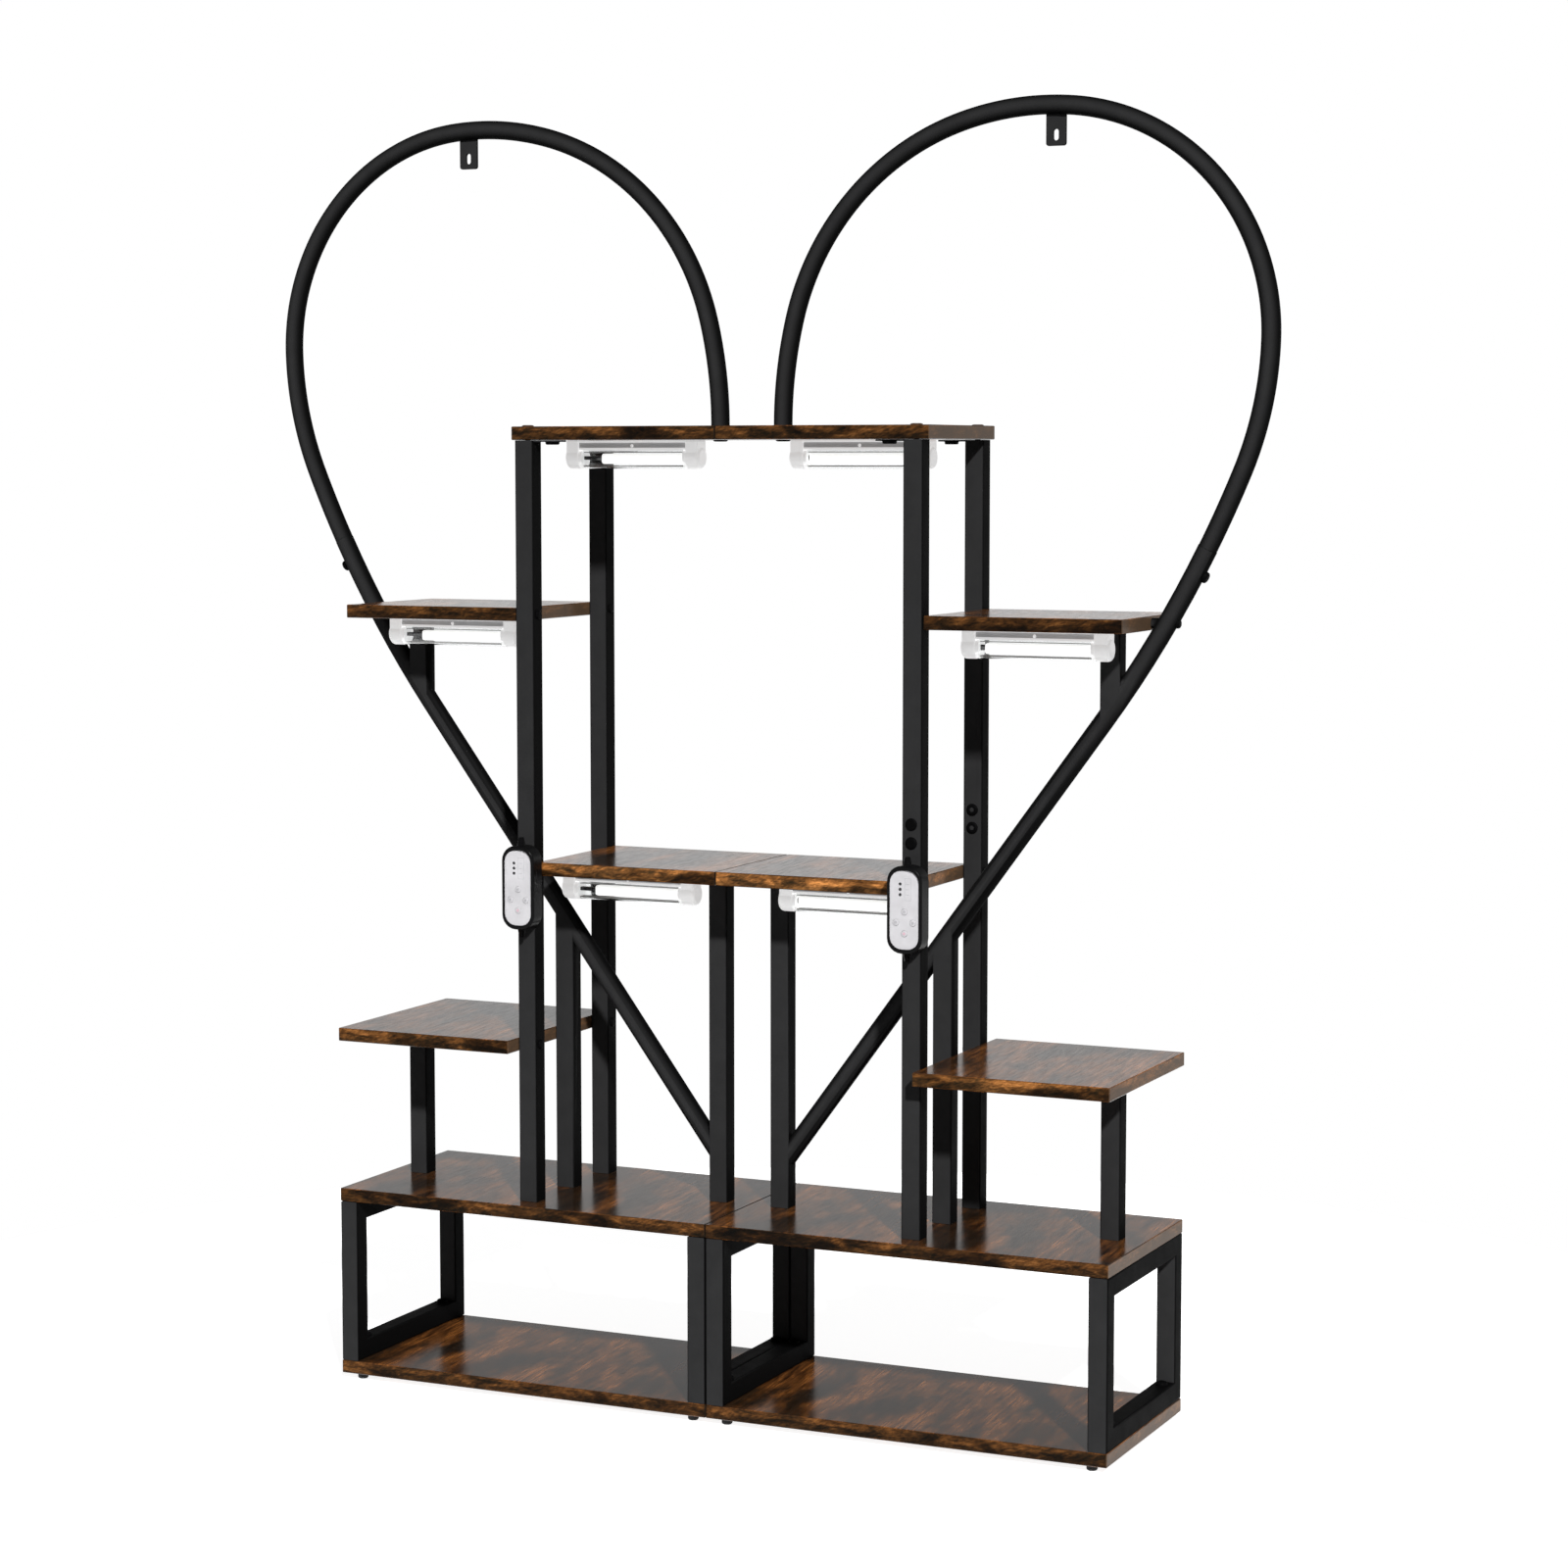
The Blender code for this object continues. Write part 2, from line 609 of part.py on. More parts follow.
def heart_post(name, side):
    """Weldment of inner post, rising tube, mid post, upper short post and shelf boss."""
    high = POST_Z + INNER_POST_HEIGHT
    mid_s = heart_distance(lambda point: point.x > POST_MID_X)
    short_x = SEAM_X + UPPER_SHORT_SET
    short_s = heart_distance(lambda point: point.x > short_x + HALF_TUBE)
    mid_point, mid_angle = heart_at(mid_s)
    short_point, short_angle = heart_at(short_s)
    thick = ROUND_RADIUS / math.cos(mid_angle)
    slope = math.tan(mid_angle) * HALF_TUBE
    thick_short = ROUND_RADIUS / math.cos(short_angle)
    slope_short = math.tan(short_angle) * HALF_TUBE
    shelf_point = heart_at(SHELF_S)[0]

    def fill(bm):
        x = span(side, INNER_POST_X, INNER_POST_X + TUBE_WIDTH)
        bar(bm, x, (-HALF_TUBE, HALF_TUBE), (POST_Z, high), 2, TUBE_CORNER)

    def tube(bm):
        sweep(bm, heart_points(side, -HALF_TUBE, JOINT_S), ROUND_RADIUS, TUBE_RESOLUTION)

    def mid_post(bm):
        keep = Vector((side * math.sin(mid_angle), 0, -math.cos(mid_angle)))
        z = (POST_Z, mid_point.z + slope)
        trimmed_bar(bm, span(side, POST_X, POST_OUTER_X), z, at(side, mid_point), keep)

    def short_post(bm):
        keep = Vector((-side * math.sin(short_angle), 0, math.cos(short_angle)))
        z = (short_point.z - slope_short, UPPER_SHELF_Z - GAP)
        x = span(side, short_x, short_x + TUBE_WIDTH)
        trimmed_bar(bm, x, z, at(side, short_point), keep)

    def boss(bm):
        length = shelf_point.x - OUTER_X - GAP
        start = at(side, (OUTER_X + GAP, 0, shelf_point.z))
        rod(bm, start, (side, 0, 0), length + BORE_RADIUS, BOSS_RADIUS)

    def boss_bolt(bm):
        seat = shelf_point.x + BORE_RADIUS / math.sin(heart_at(SHELF_S)[1])
        start = at(side, (seat, 0, shelf_point.z))
        head(bm, start, (side, 0, 0), SHELF_SCREW_RADIUS, ROUND_WALL + SCREW_HEAD_HEIGHT)

    def post_bore(bm):
        x = span(side, INNER_POST_X + TUBE_WALL, INNER_POST_X + TUBE_WIDTH - TUBE_WALL)
        half = HALF_TUBE - TUBE_WALL
        box(bm, x, (-half, half), (POST_Z - OVERRUN, high + OVERRUN))

    def tube_bore(bm):
        points = heart_points(side, 2 * TUBE_WALL, JOINT_S + OVERRUN)
        sweep(bm, points, BORE_RADIUS, BORE_RESOLUTION)

    def mid_bore(bm):
        x = span(side, POST_X + TUBE_WALL, POST_OUTER_X - TUBE_WALL)
        half = HALF_TUBE - TUBE_WALL
        top = mid_point.z - slope - thick - TUBE_WALL
        box(bm, x, (-half, half), (POST_Z - OVERRUN, top))

    def short_bore(bm):
        x = span(side, short_x + TUBE_WALL, short_x + TUBE_WIDTH - TUBE_WALL)
        half = HALF_TUBE - TUBE_WALL
        low = short_point.z + slope_short + thick_short + TUBE_WALL
        box(bm, x, (-half, half), (low, UPPER_SHELF_Z + OVERRUN))

    def bolt_hole(bm):
        joint_bolt(bm, side, GAP)

    piece(
        name,
        STEEL,
        fill,
        joined=[tube, mid_post, short_post, boss, boss_bolt],
        cuts=[post_bore, tube_bore, mid_bore, short_bore, bolt_hole],
    )


def joint_bolt(bm, side, clearance):
    """Shank of the bolt that pins the heart tube's two lengths together."""
    point, angle = heart_at(JOINT_S - JOINT_BOLT_DROP)
    out = Vector((side * math.sin(angle), 0, -math.cos(angle)))
    length = ROUND_RADIUS + GAP + OVERRUN
    rod(bm, at(side, point), out, length, BOLT_SHANK_RADIUS + clearance)


def joint_bolt_piece(name, side):
    """Bolt whose head sits on the outer side of the heart tube."""
    point, angle = heart_at(JOINT_S - JOINT_BOLT_DROP)
    out = Vector((side * math.sin(angle), 0, -math.cos(angle)))
    seat = ROUND_RADIUS + GAP
    profile = (
        (seat - BORE_RADIUS / 2, 0),
        (seat - BORE_RADIUS / 2, BOLT_SHANK_RADIUS),
        (seat, BOLT_SHANK_RADIUS),
        (seat, BOLT_HEAD_RADIUS),
        (seat + BOLT_HEAD_HEIGHT / 2, BOLT_HEAD_RADIUS),
        (seat + BOLT_HEAD_HEIGHT, BOLT_HEAD_RADIUS / 2),
        (seat + BOLT_HEAD_HEIGHT, 0),
    )
    piece(name, STEEL, lambda bm: turned(bm, at(side, point), out, profile))


def heart_arch(name, side):
    """Upper length of the heart tube: spigot, arch, hanging tab and the bolted foot."""
    tab_x = SEAM_X + TAB_SET
    low, high = JOINT_S, HEART_LENGTH
    for _ in range(40):
        middle = (low + high) / 2
        if heart_at(middle)[1] > math.pi / 2 and heart_at(middle)[0].x < tab_x:
            high = middle
        else:
            low = middle
    top = heart_at(low)[0].z
    bottom = top - TAB_DROP

    def fill(bm):
        points = heart_points(side, JOINT_S + GAP, HEART_LENGTH)
        sweep(bm, points, ROUND_RADIUS, TUBE_RESOLUTION)

    def spigot(bm):
        points = heart_points(side, JOINT_S - SPIGOT_LENGTH, JOINT_S + 2 * TUBE_WIDTH)
        sweep(bm, points, SPIGOT_RADIUS, BORE_RESOLUTION)

    def tab(bm):
        place = Matrix.Translation(at(side, (tab_x, 0, (top + bottom) / 2)))
        place @= Matrix.Rotation(math.pi / 2, 4, "X")
        sheet(bm, [rounded(TAB_WIDTH, TAB_DROP, TAB_CORNER, CORNER_STEPS)], place, TAB_THICKNESS)

    def foot(bm):
        drop = BOARD_THICKNESS + 2 * GAP
        profile = (
            (-PLUG_HEIGHT, 0),
            (-PLUG_HEIGHT, SCREW_SHANK_RADIUS),
            (drop, SCREW_SHANK_RADIUS),
            (drop, NUT_RADIUS),
            (drop + NUT_HEIGHT / 2, NUT_RADIUS),
            (drop + NUT_HEIGHT / 2, 0),
        )
        turned(bm, at(side, HEART_FOOT), -UP, profile)

    def bore(bm):
        points = heart_points(side, JOINT_S + TUBE_WIDTH, HEART_LENGTH - 2 * PLUG_HEIGHT)
        sweep(bm, points, BORE_RADIUS, BORE_RESOLUTION)

    def spigot_bore(bm):
        start = JOINT_S - SPIGOT_LENGTH - OVERRUN
        points = heart_points(side, start, JOINT_S + 2 * TUBE_WIDTH)
        sweep(bm, points, SPIGOT_RADIUS - ROUND_WALL, BORE_RESOLUTION)

    def slot(bm):
        place = Matrix.Translation(at(side, (tab_x, 0, bottom + SLOT_RISE)))
        place @= Matrix.Rotation(math.pi / 2, 4, "X")
        outline = rounded(SLOT_WIDTH, SLOT_LENGTH, SLOT_WIDTH / 2, CASING_STEPS)
        sheet(bm, [outline], place, TAB_THICKNESS + 2 * OVERRUN)

    def bolt_hole(bm):
        joint_bolt(bm, side, GAP)

    piece(name, STEEL, fill, joined=[spigot, tab, foot], cuts=[bore, spigot_bore, slot, bolt_hole])


def grow_light(name, side, x, y, z):
    """Housing with two end caps, and the clear trough between them."""
    turn = Matrix.Rotation(math.pi / 2, 4, "Z") @ Matrix.Rotation(math.pi / 2, 4, "X")
    top = z - GAP
    end = x + LIGHT_LENGTH

    def slab(bm, low, high, width, outline_height):
        middle = at(side, ((low + high) / 2, y, top))
        outline = trough(width, outline_height, ARC_STEPS)
        sheet(bm, [outline], Matrix.Translation(middle) @ turn, high - low)

    def base(bm):
        half = LIGHT_WIDTH / 2 - DIFFUSER_INSET
        box(bm, span(side, x, end), (y - half, y + half), (top - LIGHT_BASE_HEIGHT, top))

    def strip(bm):
        half = LED_STRIP_WIDTH / 2
        low = top - LIGHT_BASE_HEIGHT - LED_STRIP_HEIGHT
        box(bm, span(side, x, end), (y - half, y + half), (low, top - LIGHT_BASE_HEIGHT / 2))

    def caps(bm):
        slab(bm, x, x + LIGHT_CAP_LENGTH, LIGHT_WIDTH, LIGHT_HEIGHT)
        slab(bm, end - LIGHT_CAP_LENGTH, end, LIGHT_WIDTH, LIGHT_HEIGHT)

    piece(f"{name}_housing", WHITE, base, joined=[strip, caps])

    start = x + LIGHT_CAP_LENGTH + GAP
    stop = end - LIGHT_CAP_LENGTH - GAP
    width = LIGHT_WIDTH - 2 * DIFFUSER_INSET
    height = LIGHT_HEIGHT - DIFFUSER_INSET

    def cover(bm):
        slab(bm, start, stop, width, height)

    def hollow(bm):
        slab(bm, start - OVERRUN, stop + OVERRUN, width - 2 * DIFFUSER_WALL, height - DIFFUSER_WALL)

    def base_room(bm):
        low = top - LIGHT_BASE_HEIGHT - GAP
        x_pair = span(side, start - OVERRUN, stop + OVERRUN)
        box(bm, x_pair, (y - LIGHT_WIDTH, y + LIGHT_WIDTH), (low, top + OVERRUN))

    piece(f"{name}_cover", CLEAR, cover, cuts=[hollow, base_room])


def controller(side, word):
    """Casing on the front tall post, its face plate and four buttons."""
    mid_x = side * POST_MID_X
    back = -POST_SPAN / 2 - GAP
    front = back - CONTROL_DEPTH
    mid_z = DECK_TOP + CONTROL_RISE
    face_front = front + FACE_SINK
    face_back = face_front + FACE_THICKNESS
    seat = face_back + GAP
    upright = Matrix.Rotation(math.pi / 2, 4, "X")

    def block(bm, width, height, radius, near, far):
        place = Matrix.Translation((mid_x, (near + far) / 2, mid_z)) @ upright
        sheet(bm, [rounded(width, height, radius, CASING_STEPS)], place, far - near)

    def fill(bm):
        block(bm, CONTROL_WIDTH, CONTROL_HEIGHT, CONTROL_CORNER, front, back)
        rim = []
        for edge in bm.edges:
            ends = [vert.co.y for vert in edge.verts]
            if max(ends) < front + WELD and edge.calc_face_angle() > 1:
                rim.append(edge)
        bmesh.ops.bevel(
            bm, geom=rim, offset=CONTROL_EDGE, segments=CORNER_STEPS, profile=0.5, affect="EDGES"
        )

    def glands(bm):
        for way in (-1, 1):
            base = (mid_x, back - CONTROL_DEPTH / 2, mid_z + way * CONTROL_HEIGHT / 2)
            profile = (
                (-GLAND_LENGTH / 2, 0),
                (-GLAND_LENGTH / 2, GLAND_RADIUS),
                (0, GLAND_RADIUS),
                (GLAND_LENGTH, GLAND_TIP_RADIUS),
                (GLAND_LENGTH, 0),
            )
            turned(bm, base, way * UP, profile)

    def face_seat(bm):
        width = FACE_WIDTH + 2 * GAP
        height = FACE_HEIGHT + 2 * GAP
        block(bm, width, height, FACE_CORNER + GAP, front - OVERRUN, seat)

    def pocket(bm):
        width = FACE_WIDTH - 2 * CASING_LEDGE
        height = FACE_HEIGHT - 2 * CASING_LEDGE
        near = seat - OVERRUN / 2
        block(bm, width, height, FACE_CORNER - CASING_LEDGE, near, seat + CASING_POCKET_DEPTH)

    piece(f"{word}_controller_casing", CASING, fill, joined=[glands], cuts=[face_seat, pocket])

    group_z = mid_z - BUTTON_LEVEL
    buttons = {
        "power": (0, BUTTON_SPREAD_Z),
        "timer": (-BUTTON_SPREAD_X, 0),
        "mode": (BUTTON_SPREAD_X, 0),
        "dimmer": (0, -BUTTON_SPREAD_Z),
    }

    def plate(bm):
        block(bm, FACE_WIDTH, FACE_HEIGHT, FACE_CORNER, face_front, face_back)

    def button_holes(bm):
        for x, z in buttons.values():
            start = (mid_x + x, face_back + OVERRUN, group_z + z)
            length = FACE_THICKNESS + 2 * OVERRUN
            rod(bm, start, FORWARD, length, BUTTON_RADIUS + GAP)

    def indicator_holes(bm):
        for step in (-1, 0, 1):
            z = mid_z + INDICATOR_LEVEL + step * INDICATOR_PITCH
            start = (mid_x - INDICATOR_SET, face_back + OVERRUN, z)
            length = FACE_THICKNESS + 2 * OVERRUN
            rod(bm, start, FORWARD, length, INDICATOR_RADIUS, BORE_SIDES)

    piece(f"{word}_controller_face", FACE, plate, cuts=[button_holes, indicator_holes])

    for label, (x, z) in buttons.items():
        base = Vector((mid_x + x, face_back + GAP + BUTTON_FLANGE_HEIGHT, group_z + z))
        rise = BUTTON_FLANGE_HEIGHT + GAP + FACE_THICKNESS + BUTTON_PROUD
        flange = BUTTON_RADIUS + BUTTON_FLANGE
        profile = (
            (0, 0),
            (0, flange),
            (BUTTON_FLANGE_HEIGHT, flange),
            (BUTTON_FLANGE_HEIGHT, BUTTON_RADIUS),
            (rise - BUTTON_PROUD / 2, BUTTON_RADIUS),
            (rise, BUTTON_RADIUS - BUTTON_PROUD / 2),
            (rise, 0),
        )
        shape = (lambda bm, base=base, profile=profile: turned(bm, base, FORWARD, profile))
        piece(f"{word}_{label}_button", BUTTON, shape, origin=base)


def levelling_foot(name, side, x, y):
    """Rubber pad on a stud that screws up into the bottom board."""
    top = FOOT_HEIGHT - GAP
    profile = (
        (0, 0),
        (0, FOOT_RADIUS - FOOT_EDGE),
        (FOOT_EDGE, FOOT_RADIUS),
        (top, FOOT_RADIUS),
        (top, FOOT_STUD_RADIUS),
        (top + FOOT_STUD_LENGTH, FOOT_STUD_RADIUS),
        (top + FOOT_STUD_LENGTH, 0),
    )
    base = at(side, (x, y, 0))
    piece(name, RUBBER, lambda bm: turned(bm, base, UP, profile), origin=base)


def unit(side, word):
    """One half-heart unit."""
    foot_x = (SEAM_X + FOOT_SET_X, OUTER_X - FOOT_SET_X)
    foot_y = BASE_DEPTH / 2 - FOOT_SET_Y
    feet = [(x, y) for x in foot_x for y in (-foot_y, foot_y)]
    stud_room = FOOT_STUD_LENGTH + 2 * GAP + OVERRUN
    stud_holes = []
    for foot in feet:
        stud_holes.append((foot, FOOT_STUD_RADIUS + GAP, FOOT_HEIGHT - OVERRUN, stud_room))
    whole = BOARD_THICKNESS + 2 * OVERRUN
    shank = SCREW_SHANK_RADIUS + GAP
    top_holes = []
    for place in ((POST_MID_X, -POST_Y), (POST_MID_X, POST_Y), (HEART_FOOT.x, 0)):
        top_holes.append((place, shank, TOP_SHELF_Z - OVERRUN, whole))
    side_shelf_x = (POST_OUTER_X + GAP, OUTER_X)

    board(f"{word}_bottom_board", side, (SEAM_X, OUTER_X), BASE_DEPTH, FOOT_HEIGHT, stud_holes)
    board(f"{word}_deck_board", side, (SEAM_X, OUTER_X), BASE_DEPTH, DECK_Z)
    board(f"{word}_lower_shelf", side, side_shelf_x, BASE_DEPTH, LOWER_SHELF_Z)
    board(f"{word}_middle_shelf", side, (SEAM_X, POST_X - GAP), SHELF_DEPTH, MIDDLE_SHELF_Z)
    board(f"{word}_upper_shelf", side, side_shelf_x, SHELF_DEPTH, UPPER_SHELF_Z)
    top_x = (SEAM_X, POST_OUTER_X + TOP_OVERHANG)
    board(f"{word}_top_shelf", side, top_x, SHELF_DEPTH, TOP_SHELF_Z, top_holes)

    end_frame(f"{word}_inner_end_frame", side, (SEAM_X, SEAM_X + TUBE_WIDTH))
    end_frame(f"{word}_outer_end_frame", side, (OUTER_X - TUBE_WIDTH, OUTER_X))
    tall_post(f"{word}_front_tall_post", side, -POST_Y, -side)
    tall_post(f"{word}_rear_tall_post", side, POST_Y, -side)

    short_x = SEAM_X + LOWER_SHORT_SET

    def short_fill(bm):
        x = span(side, short_x, short_x + TUBE_WIDTH)
        z = (POST_Z, POST_Z + LOWER_SHORT_HEIGHT)
        bar(bm, x, (-HALF_TUBE, HALF_TUBE), z, 2, TUBE_CORNER)

    def short_bore(bm):
        x = span(side, short_x + TUBE_WALL, short_x + TUBE_WIDTH - TUBE_WALL)
        half = HALF_TUBE - TUBE_WALL
        z = (POST_Z - OVERRUN, POST_Z + LOWER_SHORT_HEIGHT + OVERRUN)
        box(bm, x, (-half, half), z)

    piece(f"{word}_lower_short_post", STEEL, short_fill, cuts=[short_bore])
    heart_post(f"{word}_heart_post", side)
    heart_arch(f"{word}_heart_arch", side)
    joint_bolt_piece(f"{word}_heart_joint_bolt", side)

    lights = {
        "top": (SEAM_X + TOP_LIGHT_SET, -TOP_LIGHT_FORWARD, TOP_SHELF_Z),
        "upper": (POST_OUTER_X + UPPER_LIGHT_SET, -UPPER_LIGHT_FORWARD, UPPER_SHELF_Z),
        "middle": (SEAM_X + MIDDLE_LIGHT_SET, -MIDDLE_LIGHT_FORWARD, MIDDLE_SHELF_Z),
    }
    for label, (x, y, z) in lights.items():
        grow_light(f"{word}_{label}_light", side, x, y, z)
    controller(side, word)

    for number, (x, y) in enumerate(feet):
        where = ("inner_front", "inner_rear", "outer_front", "outer_rear")[number]
        levelling_foot(f"{word}_{where}_foot", side, x, y)


unit(-1, "left")
unit(1, "right")
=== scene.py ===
import math

import bmesh
import bpy
from mathutils import Matrix, Vector


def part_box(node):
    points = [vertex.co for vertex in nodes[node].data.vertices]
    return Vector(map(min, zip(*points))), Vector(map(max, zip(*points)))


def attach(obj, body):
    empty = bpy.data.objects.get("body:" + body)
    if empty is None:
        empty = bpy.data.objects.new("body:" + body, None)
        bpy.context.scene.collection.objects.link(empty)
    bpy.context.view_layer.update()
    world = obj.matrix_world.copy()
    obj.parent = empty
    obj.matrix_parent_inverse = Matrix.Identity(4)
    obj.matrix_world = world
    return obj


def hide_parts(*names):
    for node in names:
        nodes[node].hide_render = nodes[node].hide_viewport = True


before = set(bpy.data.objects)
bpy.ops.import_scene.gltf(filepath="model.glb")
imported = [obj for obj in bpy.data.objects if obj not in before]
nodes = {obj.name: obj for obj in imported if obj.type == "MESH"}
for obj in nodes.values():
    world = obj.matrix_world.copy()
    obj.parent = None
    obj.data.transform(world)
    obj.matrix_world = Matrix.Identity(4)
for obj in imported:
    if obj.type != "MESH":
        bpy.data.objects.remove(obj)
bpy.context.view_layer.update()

# Names that repeat, and the side of x that each half of the stand is on
UNITS = (("left", -1), ("right", 1))
SHELVES = ("bottom_board", "deck_board", "lower_shelf", "middle_shelf", "upper_shelf", "top_shelf")
STEEL_NODES = (
    "inner_end_frame",
    "outer_end_frame",
    "front_tall_post",
    "rear_tall_post",
    "lower_short_post",
    "heart_post",
)
LIGHTS = ("top", "upper", "middle")
BUTTONS = ("power", "timer", "mode", "dimmer")
FEET = ("inner_front", "inner_rear", "outer_front", "outer_rear")
UP = (0, 0, 1)
DOWN = (0, 0, -1)

# Sizes that follow the frame, in metres as all sizes here
TUBE_HALF = 0.0111
TUBE_RADIUS = 0.0107
POST_IN = 0.22155
POST_OUT = 0.24375
POST_Y = 0.0875
FACE_GAP = 0.0003
UNIT_PITCH = 0.4651
UNIT_OUTER = 0.46495

# Heart tube as in the frame: its slope, the shares and turns of its bends, and its ends
HEART_SLOPE = math.radians(53.53)
HEART_BEND_SHARES = (
    (1.2680, math.radians(13.79)),
    (0.3785, math.radians(21.23)),
    (0.2419, math.radians(85.47)),
    (0.3215, math.radians(22.89)),
    (0.2856, math.radians(59.32)),
    (0.4850, math.radians(13.77)),
)
HEART_START = Vector((0.04895, 0, 0.2863))
HEART_FOOT = Vector((0.03815, 0, 1.0915))
HEART_JOINT_HEIGHT = 0.962
JOINT_BOLT_DROP = 0.028
HALVINGS = 40


# Shader nodes

WHITE = (1.0, 1.0, 1.0)
NOISE_SPAN = (0.3, 0.7)
UNIT_SPAN = (0.0, 1.0)


def grey(level):
    return (level, level, level)


def material(name):
    """New material with its tree and its main shader."""
    made = bpy.data.materials.new(name)
    made.use_nodes = True
    return made, made.node_tree, made.node_tree.nodes["Principled BSDF"]


def node(tree, kind, inputs=None, **settings):
    """New shader node; inputs is a dict of socket name or number to a value or a socket."""
    made = tree.nodes.new(kind)
    for key, value in settings.items():
        setattr(made, key, value)
    for key, value in (inputs or {}).items():
        if isinstance(value, bpy.types.NodeSocket):
            tree.links.new(value, made.inputs[key])
        else:
            made.inputs[key].default_value = value
    return made


def noise(tree, vector, scale, detail, rough, distortion=0.0):
    """Noise value on a vector that is first stretched by a three-part scale."""
    stretched = node(tree, "ShaderNodeVectorMath", {0: vector, 1: scale}, operation="MULTIPLY")
    made = node(
        tree,
        "ShaderNodeTexNoise",
        {
            "Vector": stretched.outputs[0],
            "Scale": 1.0,
            "Detail": detail,
            "Roughness": rough,
            "Distortion": distortion,
        },
    )
    return made.outputs[0]


def ramp(tree, value, stops):
    """Colour ramp of (position, colour) stops."""
    made = node(tree, "ShaderNodeValToRGB", {0: value})
    elements = made.color_ramp.elements
    while len(elements) < len(stops):
        elements.new(0.5)
    for element, (position, colour) in zip(elements, stops):
        element.position = position
        element.color = (*colour, 1.0)
    return made.outputs[0]


def grey_ramp(tree, value, stops):
    """Grey ramp of (position, level) stops."""
    return ramp(tree, value, [(position, grey(level)) for position, level in stops])


def mix(tree, factor, low, high, blend="MIX"):
    """Colour mix by a factor socket or number."""
    made = node(tree, "ShaderNodeMix", data_type="RGBA", blend_type=blend)
    for key, value in ((0, factor), (6, low), (7, high)):
        if isinstance(value, bpy.types.NodeSocket):
            tree.links.new(value, made.inputs[key])
        elif key:
            made.inputs[key].default_value = (*value, 1.0)
        else:
            made.inputs[key].default_value = value
    return made.outputs[2]


def multiplied(tree, first, second):
    return mix(tree, 1.0, first, second, "MULTIPLY")


def maths(tree, operation, first, second=0.0, third=0.0, clamp=False):
    made = node(tree, "ShaderNodeMath", {0: first, 1: second, 2: third}, operation=operation)
    made.use_clamp = clamp
    return made.outputs[0]


def weighted_sum(tree, values, weights):
    """Sum of values, each times its weight."""
    total = 0.0
    for value, weight in zip(values, weights):
        total = maths(tree, "MULTIPLY_ADD", value, weight, total)
    return total


def span_map(tree, value, span, result):
    """Value carried from one span to another, and held at its ends."""
    made = node(
        tree,
        "ShaderNodeMapRange",
        {
            "Value": value,
            "From Min": span[0],
            "From Max": span[1],
            "To Min": result[0],
            "To Max": result[1],
        },
    )
    return made.outputs[0]


def rotated(tree, vector, axis, angle):
    made = node(
        tree,
        "ShaderNodeVectorRotate",
        {"Vector": vector, "Axis": axis, "Angle": angle},
        rotation_type="AXIS_ANGLE",
    )
    return made.outputs[0]


def bump(tree, shader, height, strength, distance):
    made = node(
        tree, "ShaderNodeBump", {"Height": height, "Strength": strength, "Distance": distance}
    )
    tree.links.new(made.outputs[0], shader.inputs["Normal"])


def object_vector(tree, shift=(0.0, 0.0, 0.0)):
    coords = node(tree, "ShaderNodeTexCoord")
    moved = node(tree, "ShaderNodeVectorMath", {0: coords.outputs["Object"], 1: shift})
    return moved.outputs[0]


# Rustic boards: each noise has its stretch in x, y and z, detail, roughness and distortion

BLOTCH = ((27.0, 7.5, 9.0), 5.0, 0.62, 0.10)
GRAIN = ((95.0, 11.0, 9.0), 6.0, 0.74, 0.05)
FINE = ((560.0, 34.0, 9.0), 3.0, 0.6)
HAIR = ((300.0, 12.0, 9.0), 3.0, 0.62)
SMUDGE = ((17.0, 6.5, 11.0), 4.0, 0.62, 0.2)
EDGE_BLOTCH = ((22.0, 22.0, 75.0), 4.0, 0.6, 0.9)
EDGE_GRAIN = ((130.0, 130.0, 420.0), 4.0, 0.6, 0.5)
EDGE_FINE = ((90.0, 90.0, 1200.0), 3.0, 0.6)
EDGE_PATCH = ((13.0, 13.0, 30.0), 3.0, 0.6, 0.3)

# Weights of grain, blotch and hair in a face, hair and smudge, and grain and blotch in an edge
FIGURE_WEIGHTS = (0.30, 0.52, 0.18)
SMUDGE_WEIGHTS = (0.22, 0.78)
EDGE_WEIGHTS = (0.40, 0.60)

# Turns of the grain in radians, and how far each board's and each half's own grain is moved
GRAIN_TURN = -0.08
EDGE_GRAIN_TURN = 0.35
ROW_SHIFT = 0.53
UNIT_SHIFT = 0.007

# Stops of the boards' ramps: colours from the dark figure to the pale ground, and grey levels
BOARD_STOPS = (
    (0.40, (0.042, 0.0165, 0.0065)),
    (0.46, (0.092, 0.0335, 0.0095)),
    (0.52, (0.170, 0.0610, 0.0150)),
    (0.59, (0.250, 0.0900, 0.0220)),
)
EDGE_STOPS = (
    (0.38, (0.014, 0.0080, 0.0030)),
    (0.47, (0.048, 0.0200, 0.0060)),
    (0.55, (0.105, 0.0410, 0.0110)),
    (0.64, (0.205, 0.0830, 0.0230)),
)
SMUDGE_STOPS = ((0.47, 0.0), (0.58, 0.92))
PORE_STOPS = ((0.34, 0.60), (0.62, 1.22))
STRAND_STOPS = ((0.36, 0.46), (0.62, 1.38))
EDGE_PORE_STOPS = ((0.34, 0.66), (0.62, 1.18))
PATCH_STOPS = ((0.40, 0.26), (0.55, 1.30))
SMUDGE_COLOUR = (0.0170, 0.0110, 0.0065)

# Duller lower part of an edge, with a wavy upper border above the board's underside
DULL_WAVE = 0.022
DULL_SPAN = (0.0165, 0.0215)
DULL_TINT = (0.42, 0.46, 0.52)

